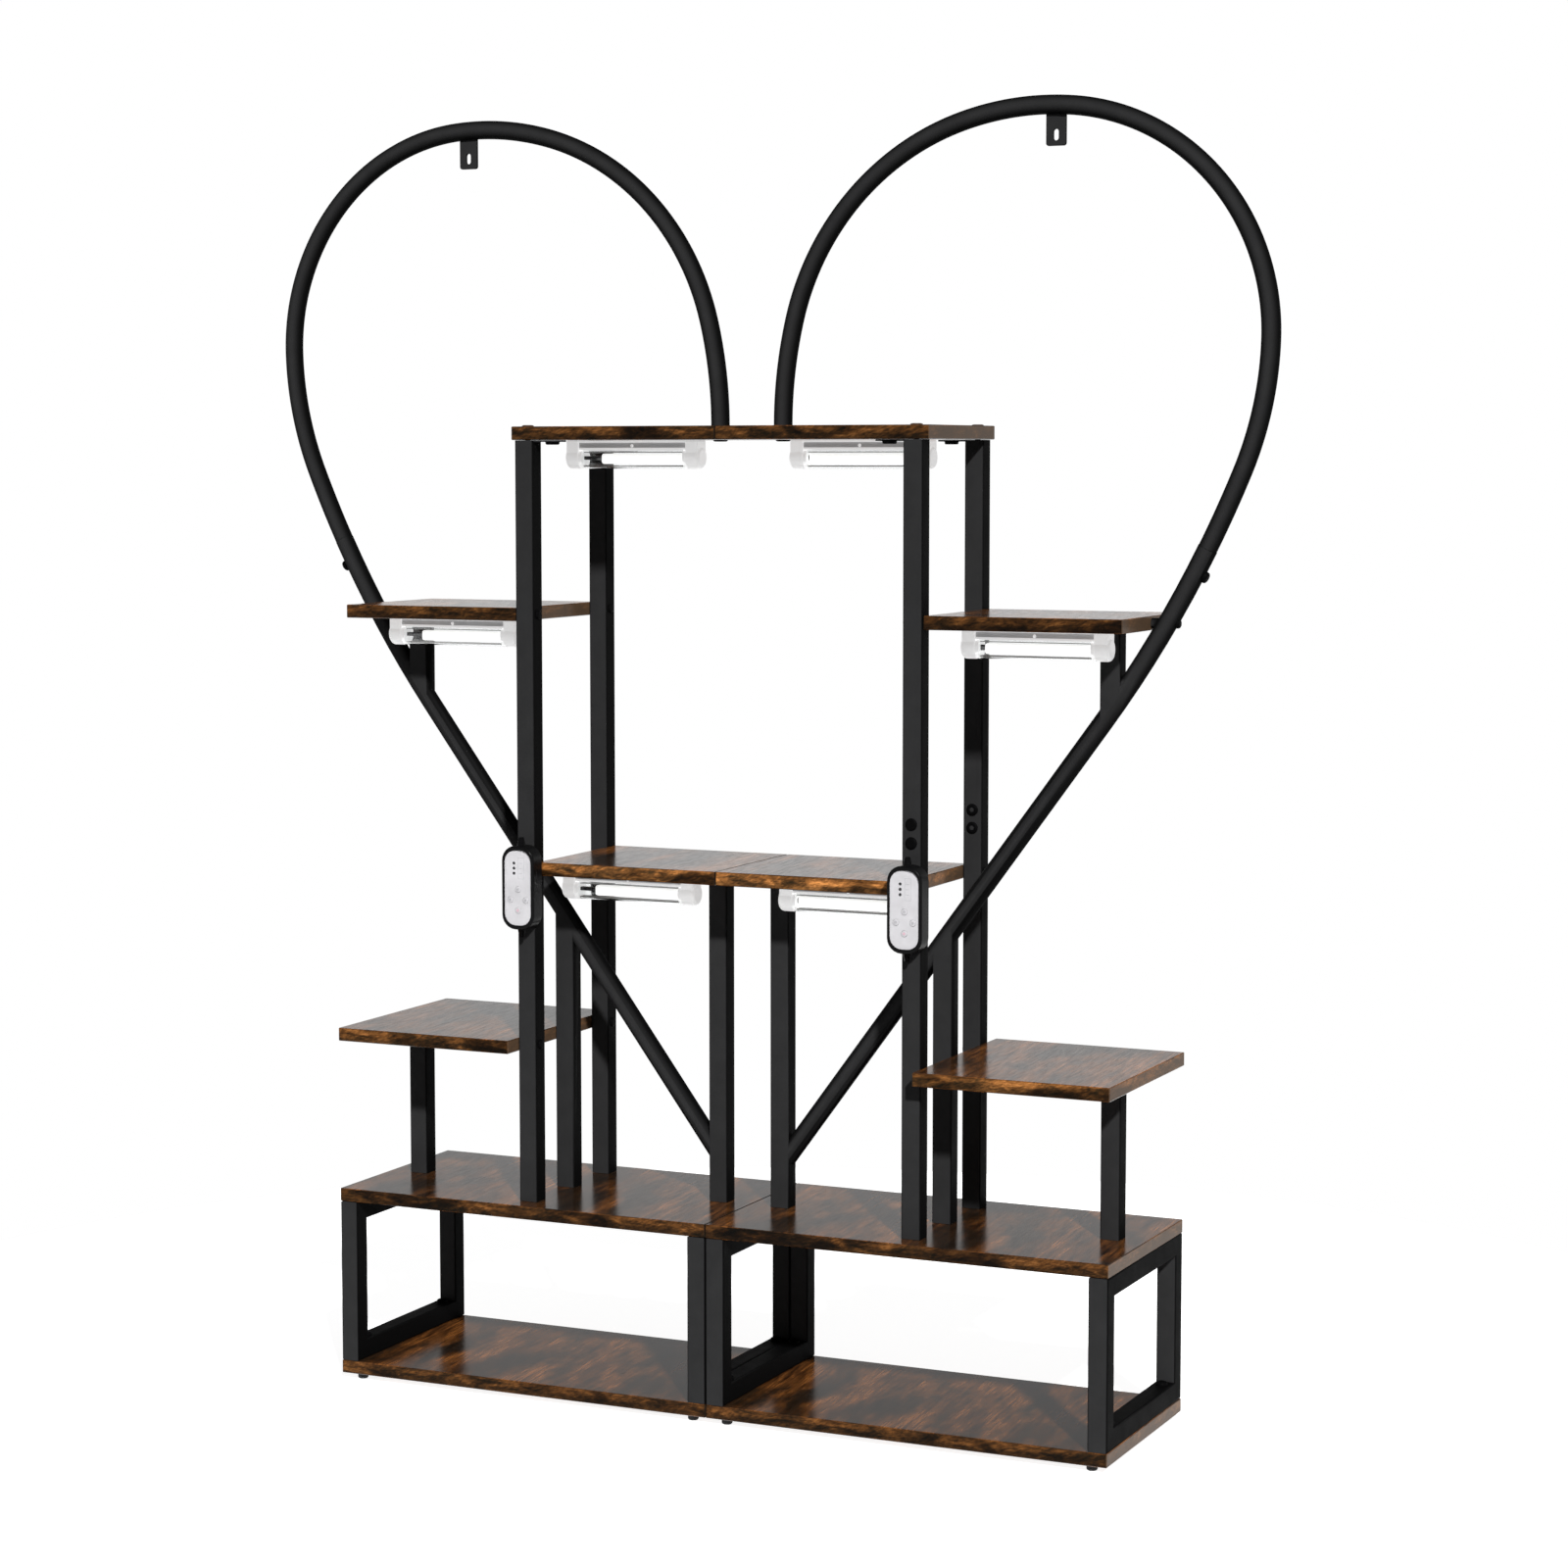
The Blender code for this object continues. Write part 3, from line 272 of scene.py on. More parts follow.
# Part of a normal along z or x at which a face or an end takes over, and how far the ends are
# painted grey, a painted sheen
FACE_SPAN = (0.55, 0.75)
END_SHARE = 0.85
END_SHEEN_FADE = 0.62
END_SHEEN_COLOUR = (0.150, 0.096, 0.060)

# Painted shade: dark line in the gap where the two halves meet
SEAM_SPAN = (0.0008, 0.0016)
SEAM_SHADE_SHARE = 0.90
SEAM_SHADE_COLOUR = (0.010, 0.008, 0.006)

# Gloss of the boards: roughness, sheen of the edges and the faces, and what the ends lose of it
BOARD_ROUGH = (0.25, 0.17)
BOARD_SHEEN = (0.05, 0.40)
END_SHEEN = -0.01
BOARD_BUMP = 0.05
BOARD_RELIEF = 0.0001
RELIEF_WEIGHTS = (0.7, 0.5)

# How light the edges of each board are, on the left and on the right: partly each board's own tone,
# partly painted light for how much light each edge gets
EDGE_LIGHT_TONES = {
    "bottom_board": (1.00, 1.00),
    "deck_board": (1.00, 1.00),
    "lower_shelf": (1.60, 2.70),
    "middle_shelf": (3.50, 3.30),
    "upper_shelf": (0.85, 0.85),
    "top_shelf": (1.10, 1.10),
}


def board_face(tree, place, level):
    """Colour of a board's top and underside, with the fine and the broad grain behind it."""
    flat = node(
        tree,
        "ShaderNodeVectorMath",
        {0: place, 1: (1, 1, 0), 2: (0, 0, level)},
        operation="MULTIPLY_ADD",
    )
    along = rotated(tree, flat.outputs[0], UP, GRAIN_TURN)
    blotch = noise(tree, along, *BLOTCH)
    grain = noise(tree, along, *GRAIN)
    fine = noise(tree, along, *FINE)
    hair = noise(tree, along, *HAIR)
    smudge = noise(tree, along, *SMUDGE)
    figure = weighted_sum(tree, (grain, blotch, hair), FIGURE_WEIGHTS)
    ground = ramp(tree, figure, BOARD_STOPS)
    streaky = weighted_sum(tree, (hair, smudge), SMUDGE_WEIGHTS)
    dark = grey_ramp(tree, streaky, SMUDGE_STOPS)
    smudged = mix(tree, dark, ground, SMUDGE_COLOUR)
    porous = multiplied(tree, smudged, grey_ramp(tree, fine, PORE_STOPS))
    colour = multiplied(tree, porous, grey_ramp(tree, hair, STRAND_STOPS))
    return colour, fine, grain


def board_edge(tree, place, rise, tone):
    """Colour of a board's four edges, from the rise over its underside and its tone, which is partly
    painted light.
    """
    tilted = rotated(tree, place, (0, 1, 0), EDGE_GRAIN_TURN)
    blotch = noise(tree, place, *EDGE_BLOTCH)
    grain = noise(tree, tilted, *EDGE_GRAIN)
    fine = noise(tree, place, *EDGE_FINE)
    patches = noise(tree, place, *EDGE_PATCH)
    edge = ramp(tree, weighted_sum(tree, (grain, blotch), EDGE_WEIGHTS), EDGE_STOPS)
    edge = multiplied(tree, edge, grey_ramp(tree, fine, EDGE_PORE_STOPS))
    edge = multiplied(tree, edge, grey_ramp(tree, patches, PATCH_STOPS))
    # Partly painted light: the edges are lightened or darkened by their board's tone
    edge = multiplied(tree, edge, grey(tone))
    uneven = maths(tree, "MULTIPLY_ADD", blotch, DULL_WAVE, rise)
    is_low = span_map(tree, uneven, DULL_SPAN, (1.0, 0.0))
    return mix(tree, is_low, edge, multiplied(tree, edge, DULL_TINT))


def wood_material(name, shift, edge_light_tone, low):
    """Rustic laminate: grain along the depth, dark smudges, warm edges and ends painted greyer as a
    painted sheen.
    """
    made, tree, shader = material(name)
    place = object_vector(tree, shift)
    own = node(tree, "ShaderNodeSeparateXYZ", {0: object_vector(tree)})
    face, fine, grain = board_face(tree, place, shift[2])
    edge = board_edge(tree, place, maths(tree, "SUBTRACT", own.outputs[2], low), edge_light_tone)

    geometry = node(tree, "ShaderNodeNewGeometry")
    normal = node(tree, "ShaderNodeSeparateXYZ", {0: geometry.outputs["True Normal"]})
    upright = maths(tree, "ABSOLUTE", normal.outputs[2])
    sideways = maths(tree, "ABSOLUTE", normal.outputs[0])
    is_face = span_map(tree, upright, FACE_SPAN, UNIT_SPAN)
    is_end = span_map(tree, sideways, FACE_SPAN, (0.0, END_SHARE))
    off_seam = maths(tree, "ABSOLUTE", own.outputs[0])
    seam_shade = span_map(tree, off_seam, SEAM_SPAN, (SEAM_SHADE_SHARE, 0.0))

    # Painted sheen: the board ends are mixed towards a pale grey-brown
    edge = mix(tree, is_end, edge, mix(tree, END_SHEEN_FADE, edge, END_SHEEN_COLOUR))
    # Painted shade where the two halves meet
    colour = mix(tree, seam_shade, mix(tree, is_face, edge, face), SEAM_SHADE_COLOUR)
    tree.links.new(colour, shader.inputs["Base Color"])
    tree.links.new(span_map(tree, fine, NOISE_SPAN, BOARD_ROUGH), shader.inputs["Roughness"])
    sheen = span_map(tree, is_face, UNIT_SPAN, BOARD_SHEEN)
    sheen = maths(tree, "MULTIPLY_ADD", is_end, END_SHEEN, sheen)
    dry = maths(tree, "SUBTRACT", 1.0, seam_shade)
    tree.links.new(maths(tree, "MULTIPLY", sheen, dry), shader.inputs["Specular IOR Level"])
    height = weighted_sum(tree, (grain, fine), RELIEF_WEIGHTS)
    bump(tree, shader, height, BOARD_BUMP, BOARD_RELIEF)
    return made


# Coats: noise of the patches, what they do to colour and roughness, and detail of the grit

COAT_PATCHES = (grey(38.0), 4.0, 0.6)
COAT_TONES = (0.80, 1.22)
COAT_SMOOTH = 0.05
COAT_ROUGH = 0.06
COAT_GRIT = (2.0, 0.6)
COAT_RELIEF = 0.0002

# Steel's painted shade: how light its sides and tops are painted beside its front, and how fast a
# face falls to that as it turns away
SIDE_SHADE_LEVEL = 0.11
SIDE_POWER = 3.5

# Clear plastic
CLEAR_COLOUR = (0.97, 0.98, 0.98)
CLEAR_IOR = 1.46
CLEAR_HAZE = ((30.0, 240.0, 240.0), 3.0, 0.6)
CLEAR_ROUGH = (0.02, 0.07)


def powder_coat(name, base, rough, grit, strength, specular=0.5, glow=0.0, glow_colour=WHITE):
    """Painted metal or moulded plastic: fine grit, faint patchiness and rubbed variation."""
    made, tree, shader = material(name)
    place = object_vector(tree)
    patches = noise(tree, place, *COAT_PATCHES)
    speck = noise(tree, place, grey(grit), *COAT_GRIT)
    low, high = (tuple(tone * part for part in base) for tone in COAT_TONES)
    tree.links.new(mix(tree, patches, low, high), shader.inputs["Base Color"])
    rubbed = span_map(tree, patches, NOISE_SPAN, (rough - COAT_SMOOTH, rough + COAT_ROUGH))
    tree.links.new(rubbed, shader.inputs["Roughness"])
    shader.inputs["Specular IOR Level"].default_value = specular
    shader.inputs["Emission Color"].default_value = (*glow_colour, 1.0)
    shader.inputs["Emission Strength"].default_value = glow
    bump(tree, shader, speck, strength, COAT_RELIEF)
    return made


def paint_side_shade(coat):
    """Painted shade: darken the faces of a coat that run along the depth, so they stay darker as if
    less lit.
    """
    tree = coat.node_tree
    base = tree.nodes["Principled BSDF"].inputs["Base Color"]
    normal = node(tree, "ShaderNodeTexCoord").outputs["Normal"]
    parts = node(tree, "ShaderNodeSeparateXYZ", {0: normal})
    frontal = maths(tree, "ABSOLUTE", parts.outputs[1])
    frontal = maths(tree, "POWER", frontal, SIDE_POWER)
    level = span_map(tree, frontal, UNIT_SPAN, (SIDE_SHADE_LEVEL, 1.0))
    colour = base.links[0].from_socket
    side_shaded = node(tree, "ShaderNodeVectorMath", {0: colour, "Scale": level}, operation="SCALE")
    tree.links.new(side_shaded.outputs[0], base)


def clear_plastic(name):
    """Clear tube with a faint haze."""
    made, tree, shader = material(name)
    shader.inputs["Base Color"].default_value = (*CLEAR_COLOUR, 1.0)
    shader.inputs["Transmission Weight"].default_value = 1.0
    shader.inputs["IOR"].default_value = CLEAR_IOR
    haze = noise(tree, object_vector(tree), *CLEAR_HAZE)
    tree.links.new(span_map(tree, haze, NOISE_SPAN, CLEAR_ROUGH), shader.inputs["Roughness"])
    return made


# Each coat: name, base colour, roughness, scale of its grit, strength of its bump, specular level
STEEL = powder_coat("black_powder_coat_painted_side_shade", (0.0280, 0.0280, 0.0286), 0.55, 2400.0, 0.20, 0.01)
# Painted shade on the steel: its sides and tops are darkened in its colour
paint_side_shade(STEEL)
SCREW = powder_coat("black_screw", (0.0030, 0.0030, 0.0032), 0.45, 1500.0, 0.06, 0.01)
BROWN = powder_coat("brown_screw_cap", (0.060, 0.028, 0.012), 0.40, 900.0, 0.05)
RUBBER = powder_coat("black_rubber_grip", (0.010, 0.010, 0.010), 0.78, 1200.0, 0.25)
CASING = powder_coat("black_moulding", (0.0045, 0.0045, 0.0048), 0.28, 2000.0, 0.06, 0.06)
# Painted light: the white caps, lips and pins glow though they are no lamp, so they stay white in
# the shade under the shelves
CAP_PAINTED_GLOW = powder_coat("white_moulding_painted_glow", (0.78, 0.78, 0.78), 0.30, 900.0, 0.03, glow=0.48)
FACE = powder_coat("face_moulding", (0.64, 0.63, 0.65), 0.40, 1100.0, 0.03)
KEY = powder_coat("key_moulding", (0.60, 0.59, 0.61), 0.45, 1100.0, 0.03)
# Painted light: the grey rail glows faintly though it is no lamp
RAIL_PAINTED_GLOW = powder_coat("rail_grey_painted_glow", (0.52, 0.52, 0.53), 0.38, 700.0, 0.03, glow=0.08)
LINE = powder_coat("strip_edge_grey", (0.16, 0.155, 0.15), 0.35, 700.0, 0.03)
PRINT = powder_coat("print_grey", (0.50, 0.50, 0.52), 0.50, 1100.0, 0.03)
MARK = powder_coat("mark_grey", (0.33, 0.33, 0.35), 0.50, 1100.0, 0.03)
MARK_WARM = powder_coat("mark_warm", (0.72, 0.42, 0.50), 0.50, 1100.0, 0.03)
LENS = powder_coat("lens_dark", (0.02, 0.02, 0.022), 0.22, 1100.0, 0.02)
GLOW = powder_coat(
    "diffuser_white", (0.88, 0.88, 0.88), 0.40, 600.0, 0.02, glow=0.76, glow_colour=(1.0, 0.99, 0.97)
)
CLEAR = clear_plastic("clear_tube")


# Mesh helpers

WELD = 0.000002
FLAT_ANGLE = math.radians(0.5)
ROUND_STEPS = 6
SIXTH = math.pi / 3

# Edges that turn by more degrees than this stay sharp
SHARP = 35.0
STEEL_SHARP = 50.0
BOARD_SHARP = 30.0
CASING_SHARP = 60.0
CLEAR_SHARP = 40.0
PRINT_SHARP = 20.0


def piece(name, bm, look, body="stand", angle=SHARP, weighted=False):
    """Object from a bmesh, riding on a body; weighted evens the shading of its flat faces."""
    bmesh.ops.recalc_face_normals(bm, faces=bm.faces)
    mesh = bpy.data.meshes.new(name)
    bm.to_mesh(mesh)
    bm.free()
    mesh.shade_smooth()
    mesh.set_sharp_from_angle(angle=math.radians(angle))
    made = bpy.data.objects.new(name, mesh)
    made.data.materials.append(look)
    bpy.context.scene.collection.objects.link(made)
    if weighted:
        normals = made.modifiers.new("weighted_normals", "WEIGHTED_NORMAL")
        normals.keep_sharp = True
    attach(made, body)
    return made


def refine(name, look, angle):
    """Welded, smoothly shaded copy of a CAD node of the stand, in the node's place."""
    bm = bmesh.new()
    bm.from_mesh(nodes[name].data)
    bmesh.ops.remove_doubles(bm, verts=bm.verts, dist=WELD)
    bmesh.ops.dissolve_limit(
        bm, angle_limit=FLAT_ANGLE, verts=bm.verts, edges=bm.edges, use_dissolve_boundaries=False
    )
    made = piece(f"{name}_skin", bm, look, angle=angle, weighted=True)
    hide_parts(name)


def bridge(bm, loops, capped=True):
    """Faces between each loop of vertices and the next, and over the two ends."""
    for first, second in zip(loops, loops[1:]):
        for step in range(len(first)):
            after = (step + 1) % len(first)
            bm.faces.new((first[step], first[after], second[after], second[step]))
    if capped:
        bm.faces.new(loops[0][::-1])
        bm.faces.new(loops[-1])


def lathe(bm, base, axis, rings, steps, hexed=(), capped=True):
    """Turned solid from (height, radius) rings; ring numbers in hexed are six-sided."""
    place = Matrix.Translation(base) @ Vector(axis).to_track_quat("Z", "Y").to_matrix().to_4x4()
    loops = []
    for number, (height, radius) in enumerate(rings):
        loop = []
        for step in range(steps):
            angle = 2 * math.pi * step / steps
            reach = radius
            if number in hexed:
                reach = radius / math.cos((angle + SIXTH / 2) % SIXTH - SIXTH / 2)
            spot = Vector((reach * math.cos(angle), reach * math.sin(angle), height))
            loop.append(bm.verts.new(place @ spot))
        loops.append(loop)
    bridge(bm, loops if capped else loops + loops[:1], capped)


def sweep(bm, points, radius, sides):
    """Tube through points in the plane y = 0."""
    across = Vector((0, 1, 0))
    last = len(points) - 1
    loops = []
    for number, point in enumerate(points):
        way = (points[min(number + 1, last)] - points[max(number - 1, 0)]).normalized()
        outward = way.cross(across)
        loop = []
        for step in range(sides):
            angle = 2 * math.pi * step / sides
            offset = outward * math.cos(angle) + across * math.sin(angle)
            loop.append(bm.verts.new(point + radius * offset))
        loops.append(loop)
    bridge(bm, loops)


def rounded(width, height, radius):
    """Rectangle outline with round corners, centred."""
    points = []
    for quarter, (way_x, way_y) in enumerate(((1, 1), (-1, 1), (-1, -1), (1, -1))):
        for step in range(ROUND_STEPS + 1):
            angle = quarter * math.pi / 2 + step * math.pi / 2 / ROUND_STEPS
            x = way_x * (width / 2 - radius) + radius * math.cos(angle)
            y = way_y * (height / 2 - radius) + radius * math.sin(angle)
            points.append((x, y))
    return points


def slab(bm, low, high, radius, steps):
    """Box with rounded edges."""
    low = Vector(low)
    high = Vector(high)
    place = Matrix.Translation((low + high) / 2) @ Matrix.Diagonal((*(high - low), 1))
    verts = bmesh.ops.create_cube(bm, size=1, matrix=place)["verts"]
    edges = list({edge for vert in verts for edge in vert.link_edges})
    bmesh.ops.bevel(bm, geom=edges, offset=radius, segments=steps, profile=0.5, affect="EDGES")


def middle_of(node_name):
    """Middle of a CAD node's box."""
    low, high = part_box(node_name)
    return (low + high) / 2


def mirrored(side, point):
    return Vector((side * point[0], point[1], point[2]))


# Route of the right heart tube, which the left one mirrors

def bend_step(radius, angle, after):
    """Way along an arc whose direction turns from one angle to the other."""
    return radius * Vector((math.sin(after) - math.sin(angle), 0, math.cos(angle) - math.cos(after)))


def heart_route():
    """Straight run and bends that lead from the start to the foot."""
    shape = Vector((0, 0, 0))
    angle = HEART_SLOPE
    for share, turn in HEART_BEND_SHARES:
        shape += bend_step(share, angle, angle + turn)
        angle += turn
    reach = HEART_FOOT - HEART_START
    cross = math.cos(HEART_SLOPE) * shape.z - math.sin(HEART_SLOPE) * shape.x
    run = (reach.x * shape.z - reach.z * shape.x) / cross
    size = (math.cos(HEART_SLOPE) * reach.z - math.sin(HEART_SLOPE) * reach.x) / cross
    return run, [(share * size, turn) for share, turn in HEART_BEND_SHARES]


RUN, BENDS = heart_route()
HEART_LENGTH = RUN + sum(radius * turn for radius, turn in BENDS)


def heart_at(distance):
    """Point and direction angle at a distance along the tube."""
    first = min(distance, RUN)
    point = HEART_START + first * Vector((math.cos(HEART_SLOPE), 0, math.sin(HEART_SLOPE)))
    angle = HEART_SLOPE
    left = distance - first
    for radius, turn in BENDS:
        part = min(left, radius * turn)
        if part <= 0:
            break
        after = angle + part / radius
        point += bend_step(radius, angle, after)
        angle = after
        left -= part
    return point, angle


def heart_where(test, low=0.0, high=HEART_LENGTH / 2):
    """Distance at which a test of the point starts to hold, by halving."""
    for _ in range(HALVINGS):
        middle = (low + high) / 2
        if test(heart_at(middle)[0]):
            high = middle
        else:
            low = middle
    return high


JOINT_S = heart_where(lambda point: point.z > HEART_JOINT_HEIGHT)


# Steel: the arch is a little thinner than its faceted solid, whose box it has to stay in

ARCH_RADIUS = 0.0103
ARCH_STEPS = 150
ARCH_SIDES = 28
TAB_X = 0.35445
TAB_WIDTH = 0.0225
TAB_HEIGHT = 0.0430
TAB_CORNER = 0.003
TAB_HALF = 0.0015
TAB_EASE = 0.0004
SLOT_WIDTH = 0.006
SLOT_HEIGHT = 0.012
SLOT_CORNER = 0.0029
SLOT_LIFT = 0.0115

# Shares of the tube's length between which its crown lies
CROWN_SPAN = (0.5, 0.75)


def heart_arch(word, side):
    start = JOINT_S + FACE_GAP
    stops = [start + (HEART_LENGTH - start) * step / ARCH_STEPS for step in range(ARCH_STEPS + 1)]
    bm = bmesh.new()
    sweep(bm, [mirrored(side, heart_at(stop)[0]) for stop in stops], ARCH_RADIUS, ARCH_SIDES)
    arch = piece(f"{word}_arch_tube", bm, STEEL)
    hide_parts(f"{word}_heart_arch")


def hanging_tab(word, side):
    """Flat tab under the crown of the arch, with its slot."""
    span = [share * HEART_LENGTH for share in CROWN_SPAN]
    crown = heart_at(heart_where(lambda point: point.x < TAB_X, *span))[0]
    middle = crown.z - TAB_HEIGHT / 2
    slot = crown.z - TAB_HEIGHT + SLOT_LIFT
    inner = TAB_HALF - TAB_EASE
    rings = []
    for depth, ease in ((-TAB_HALF, TAB_EASE), (-inner, 0.0), (inner, 0.0), (TAB_HALF, TAB_EASE)):
        outline = rounded(TAB_WIDTH - 2 * ease, TAB_HEIGHT - 2 * ease, TAB_CORNER)
        rings.append([(side * TAB_X + x, depth, middle + z) for x, z in outline])
    for depth in (TAB_HALF, -TAB_HALF):
        outline = rounded(SLOT_WIDTH, SLOT_HEIGHT, SLOT_CORNER)
        rings.append([(side * TAB_X + x, depth, slot + z) for x, z in outline])
    bm = bmesh.new()
    loops = [[bm.verts.new(point) for point in ring] for ring in rings]
    bridge(bm, loops + loops[:1], False)
    piece(f"{word}_hanging_tab", bm, STEEL)


# Screws and nuts: each ring is a share of the height, a further lift and a share of the radius

SCREW_RINGS = (
    (0.0, -0.0006, 1.02),
    (0.45, 0.0, 1.02),
    (0.80, 0.0, 0.93),
    (1.0, 0.0002, 0.70),
    (1.0, 0.0002, 0.44),
    (1.0, 0.00005, 0.40),
)
SCREW_HEXED = (4, 5)
NUT_RINGS = (
    (0.0, -0.0002, 1.16),
    (0.0, 0.0006, 1.16),
    (0.0, 0.0006, 0.95),
    (0.8, 0.0, 0.95),
    (1.0, 0.0001, 0.84),
    (1.0, 0.0001, 0.40),
)
NUT_HEXED = (2, 3)
HEAD_STEPS = 36

# Radius and height of each kind, the lighter centres of the joint screws, and where they sit
TOP_CAP = (0.0065, 0.0010)
SHELF_SCREW = (0.0052, 0.0022)
JOINT_SCREW = (0.0065, 0.0018)
FRAME_BOLT = (0.0065, 0.0035)
BOSS_SCREW = (0.0052, 0.0032)
JOINT_BOLT = (0.0060, 0.0035)
TAB_NUT = (0.0070, 0.0030)
FOOT_NUT = (0.0070, 0.0015)
CENTRE_RINGS = ((0.0, 0.0030), (0.0014, 0.0030), (0.0019, 0.0024), (0.0020, 0.0008))
CENTRE_STEPS = 28
JOINT_SCREW_HEIGHTS = (0.6494, 0.6694)
TAB_PLATE = 0.0018
TAB_NUT_INSET = 0.0197
BOSS_SINK = 0.0014


def turned_head(bm, base, axis, size, rings, hexed):
    """Head of a (radius, height), from rings in shares of it."""
    radius, height = size
    shape = [(share * height + lift, wide * radius) for share, lift, wide in rings]
    lathe(bm, base, axis, shape, HEAD_STEPS, hexed)


def screw_head(bm, base, axis, size):
    """Low button head with a hexagon socket."""
    turned_head(bm, base, axis, size, SCREW_RINGS, SCREW_HEXED)


def nut(bm, base, axis, size):
    """Hexagon nut on its washer."""
    turned_head(bm, base, axis, size, NUT_RINGS, NUT_HEXED)


def fasteners(word, side):
    """Heads of the screws, bolts and nuts, and the brown caps on the top shelf."""
    heads = bmesh.new()
    caps = bmesh.new()
    centres = bmesh.new()
    top_low, top_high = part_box(f"{word}_top_shelf")
    upper_z = middle_of(f"{word}_upper_shelf").z
    frame_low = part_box(f"{word}_outer_end_frame")[0].z
    post_mid = (POST_IN + POST_OUT) / 2
    for y in (-POST_Y, POST_Y):
        screw_head(caps, mirrored(side, (post_mid, y, top_high.z + FACE_GAP)), UP, TOP_CAP)
        for z in (middle_of(f"{word}_lower_shelf").z, upper_z):
            screw_head(heads, mirrored(side, (POST_IN, y, z)), (-side, 0, 0), SHELF_SCREW)
        z = middle_of(f"{word}_middle_shelf").z
        screw_head(heads, mirrored(side, (POST_OUT, y, z)), (side, 0, 0), SHELF_SCREW)
        for z in JOINT_SCREW_HEIGHTS:
            seat = mirrored(side, (post_mid, y - side * TUBE_HALF, z))
            screw_head(heads, seat, (0, -side, 0), JOINT_SCREW)
            if side * y > 0:
                lathe(centres, seat, (0, -side, 0), CENTRE_RINGS, CENTRE_STEPS)
        for x in (TUBE_HALF + FACE_GAP / 2, UNIT_OUTER - TUBE_HALF):
            screw_head(heads, mirrored(side, (x, y, frame_low + 2 * TUBE_HALF)), UP, FRAME_BOLT)
        seat = (POST_IN - TAB_NUT_INSET, y, top_low.z - FACE_GAP - TAB_PLATE)
        nut(heads, mirrored(side, seat), DOWN, TAB_NUT)
    nut(heads, mirrored(side, (HEART_FOOT.x, 0, top_low.z - FACE_GAP)), DOWN, FOOT_NUT)
    spot, angle = heart_at(heart_where(lambda point: point.z > upper_z))
    seat = spot.x + (TUBE_RADIUS - BOSS_SINK) / math.sin(angle)
    screw_head(heads, mirrored(side, (seat, 0, upper_z)), (side, 0, 0), BOSS_SCREW)
    piece(f"{word}_screw_heads", heads, SCREW)
    piece(f"{word}_screw_centres", centres, STEEL)
    piece(f"{word}_top_screw_caps", caps, BROWN)


def joint_bolt(word, side):
    bm = bmesh.new()
    spot, angle = heart_at(JOINT_S - JOINT_BOLT_DROP)
    out = Vector((side * math.sin(angle), 0, -math.cos(angle)))
    seat = mirrored(side, spot) + (TUBE_RADIUS + FACE_GAP) * out
    screw_head(bm, seat, out, JOINT_BOLT)
    bolt = piece(f"{word}_joint_bolt_head", bm, SCREW)
    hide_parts(f"{word}_heart_joint_bolt")


# Grow lights: each bar has its half width, lower and upper height, easing and steps of the easing

CAP_LENGTH = 0.017
CAP_LIP = 0.0016
CAP_DROP = 0.0192
CAP_RINGS = (
    (0.0, 0.0085),
    (0.0006, 0.0104),
    (0.0020, 0.0119),
    (0.0042, 0.0126),
    (0.0150, 0.0126),
    (0.0163, 0.0121),
    (0.0166, 0.0116),
    (0.0205, 0.0114),
    (0.0207, 0.0108),
)
CAP_STEPS = 40

# Heights from the housing's top
CAP_BAR = (0.0112, -0.0150, 0.0, 0.0016, 3)
RAIL_BAR = (0.0090, -0.0085, -0.0018, 0.0005, 2)
LIP_BARS = ((0.0108, -0.0024, 0.0, 0.0006, 2), (0.0098, -0.0106, -0.0082, 0.0006, 2))
BAR_REACH = 0.001
PIN_DROP = 0.0060
PIN_RINGS = ((0.0, 0.0018), (0.0006, 0.0017), (0.0009, 0.0012), (0.0010, 0.0004))
PIN_STEPS = 20

# Heights from the tube's axis
DIFFUSER_BAR = (0.0060, -0.0056, 0.0058, 0.0028, 4)
STRIP_BARS = ((0.0052, 0.0068, 0.0076, 0.0002, 1), (0.0052, -0.0082, -0.0074, 0.0002, 1))
LONG_LEAD_BAR = (0.0040, -0.0011, 0.0031, 0.0012, 3)
SHORT_LEAD_BAR = (0.0040, -0.0020, 0.0040, 0.0012, 3)
SOCKET_BAR = (0.0060, -0.0060, 0.0070, 0.0005, 2)
TUBE_DROP = 0.0205

# How far the strip stops short of the end caps, and where the lead and its socket begin and end
STRIP_INSET = 0.001
LEAD_SPAN = (0.0015, -0.0005)
SOCKET_SPAN = (0.0008, 0.0022)

# Radii of the clear tube
CLEAR_OUTER = 0.0110
CLEAR_INNER = 0.0101
CLEAR_STEPS = 40

# Dark leads that show through the near end of the clear tubes
LEAD_LENGTHS = {
    "left_top": 0.026,
    "left_upper": 0.024,
    "left_middle": 0.023,
    "right_top": 0.005,
    "right_upper": 0.009,
    "right_middle": 0.005,
}
LONG_LEAD = 0.01


def bar(bm, start, stop, place, shape):
    """Bar along x with eased edges, at a (y, z) place."""
    y, z = place
    half, low, high, ease, steps = shape
    slab(bm, (start, y - half, z + low), (stop, y + half, z + high), ease, steps)


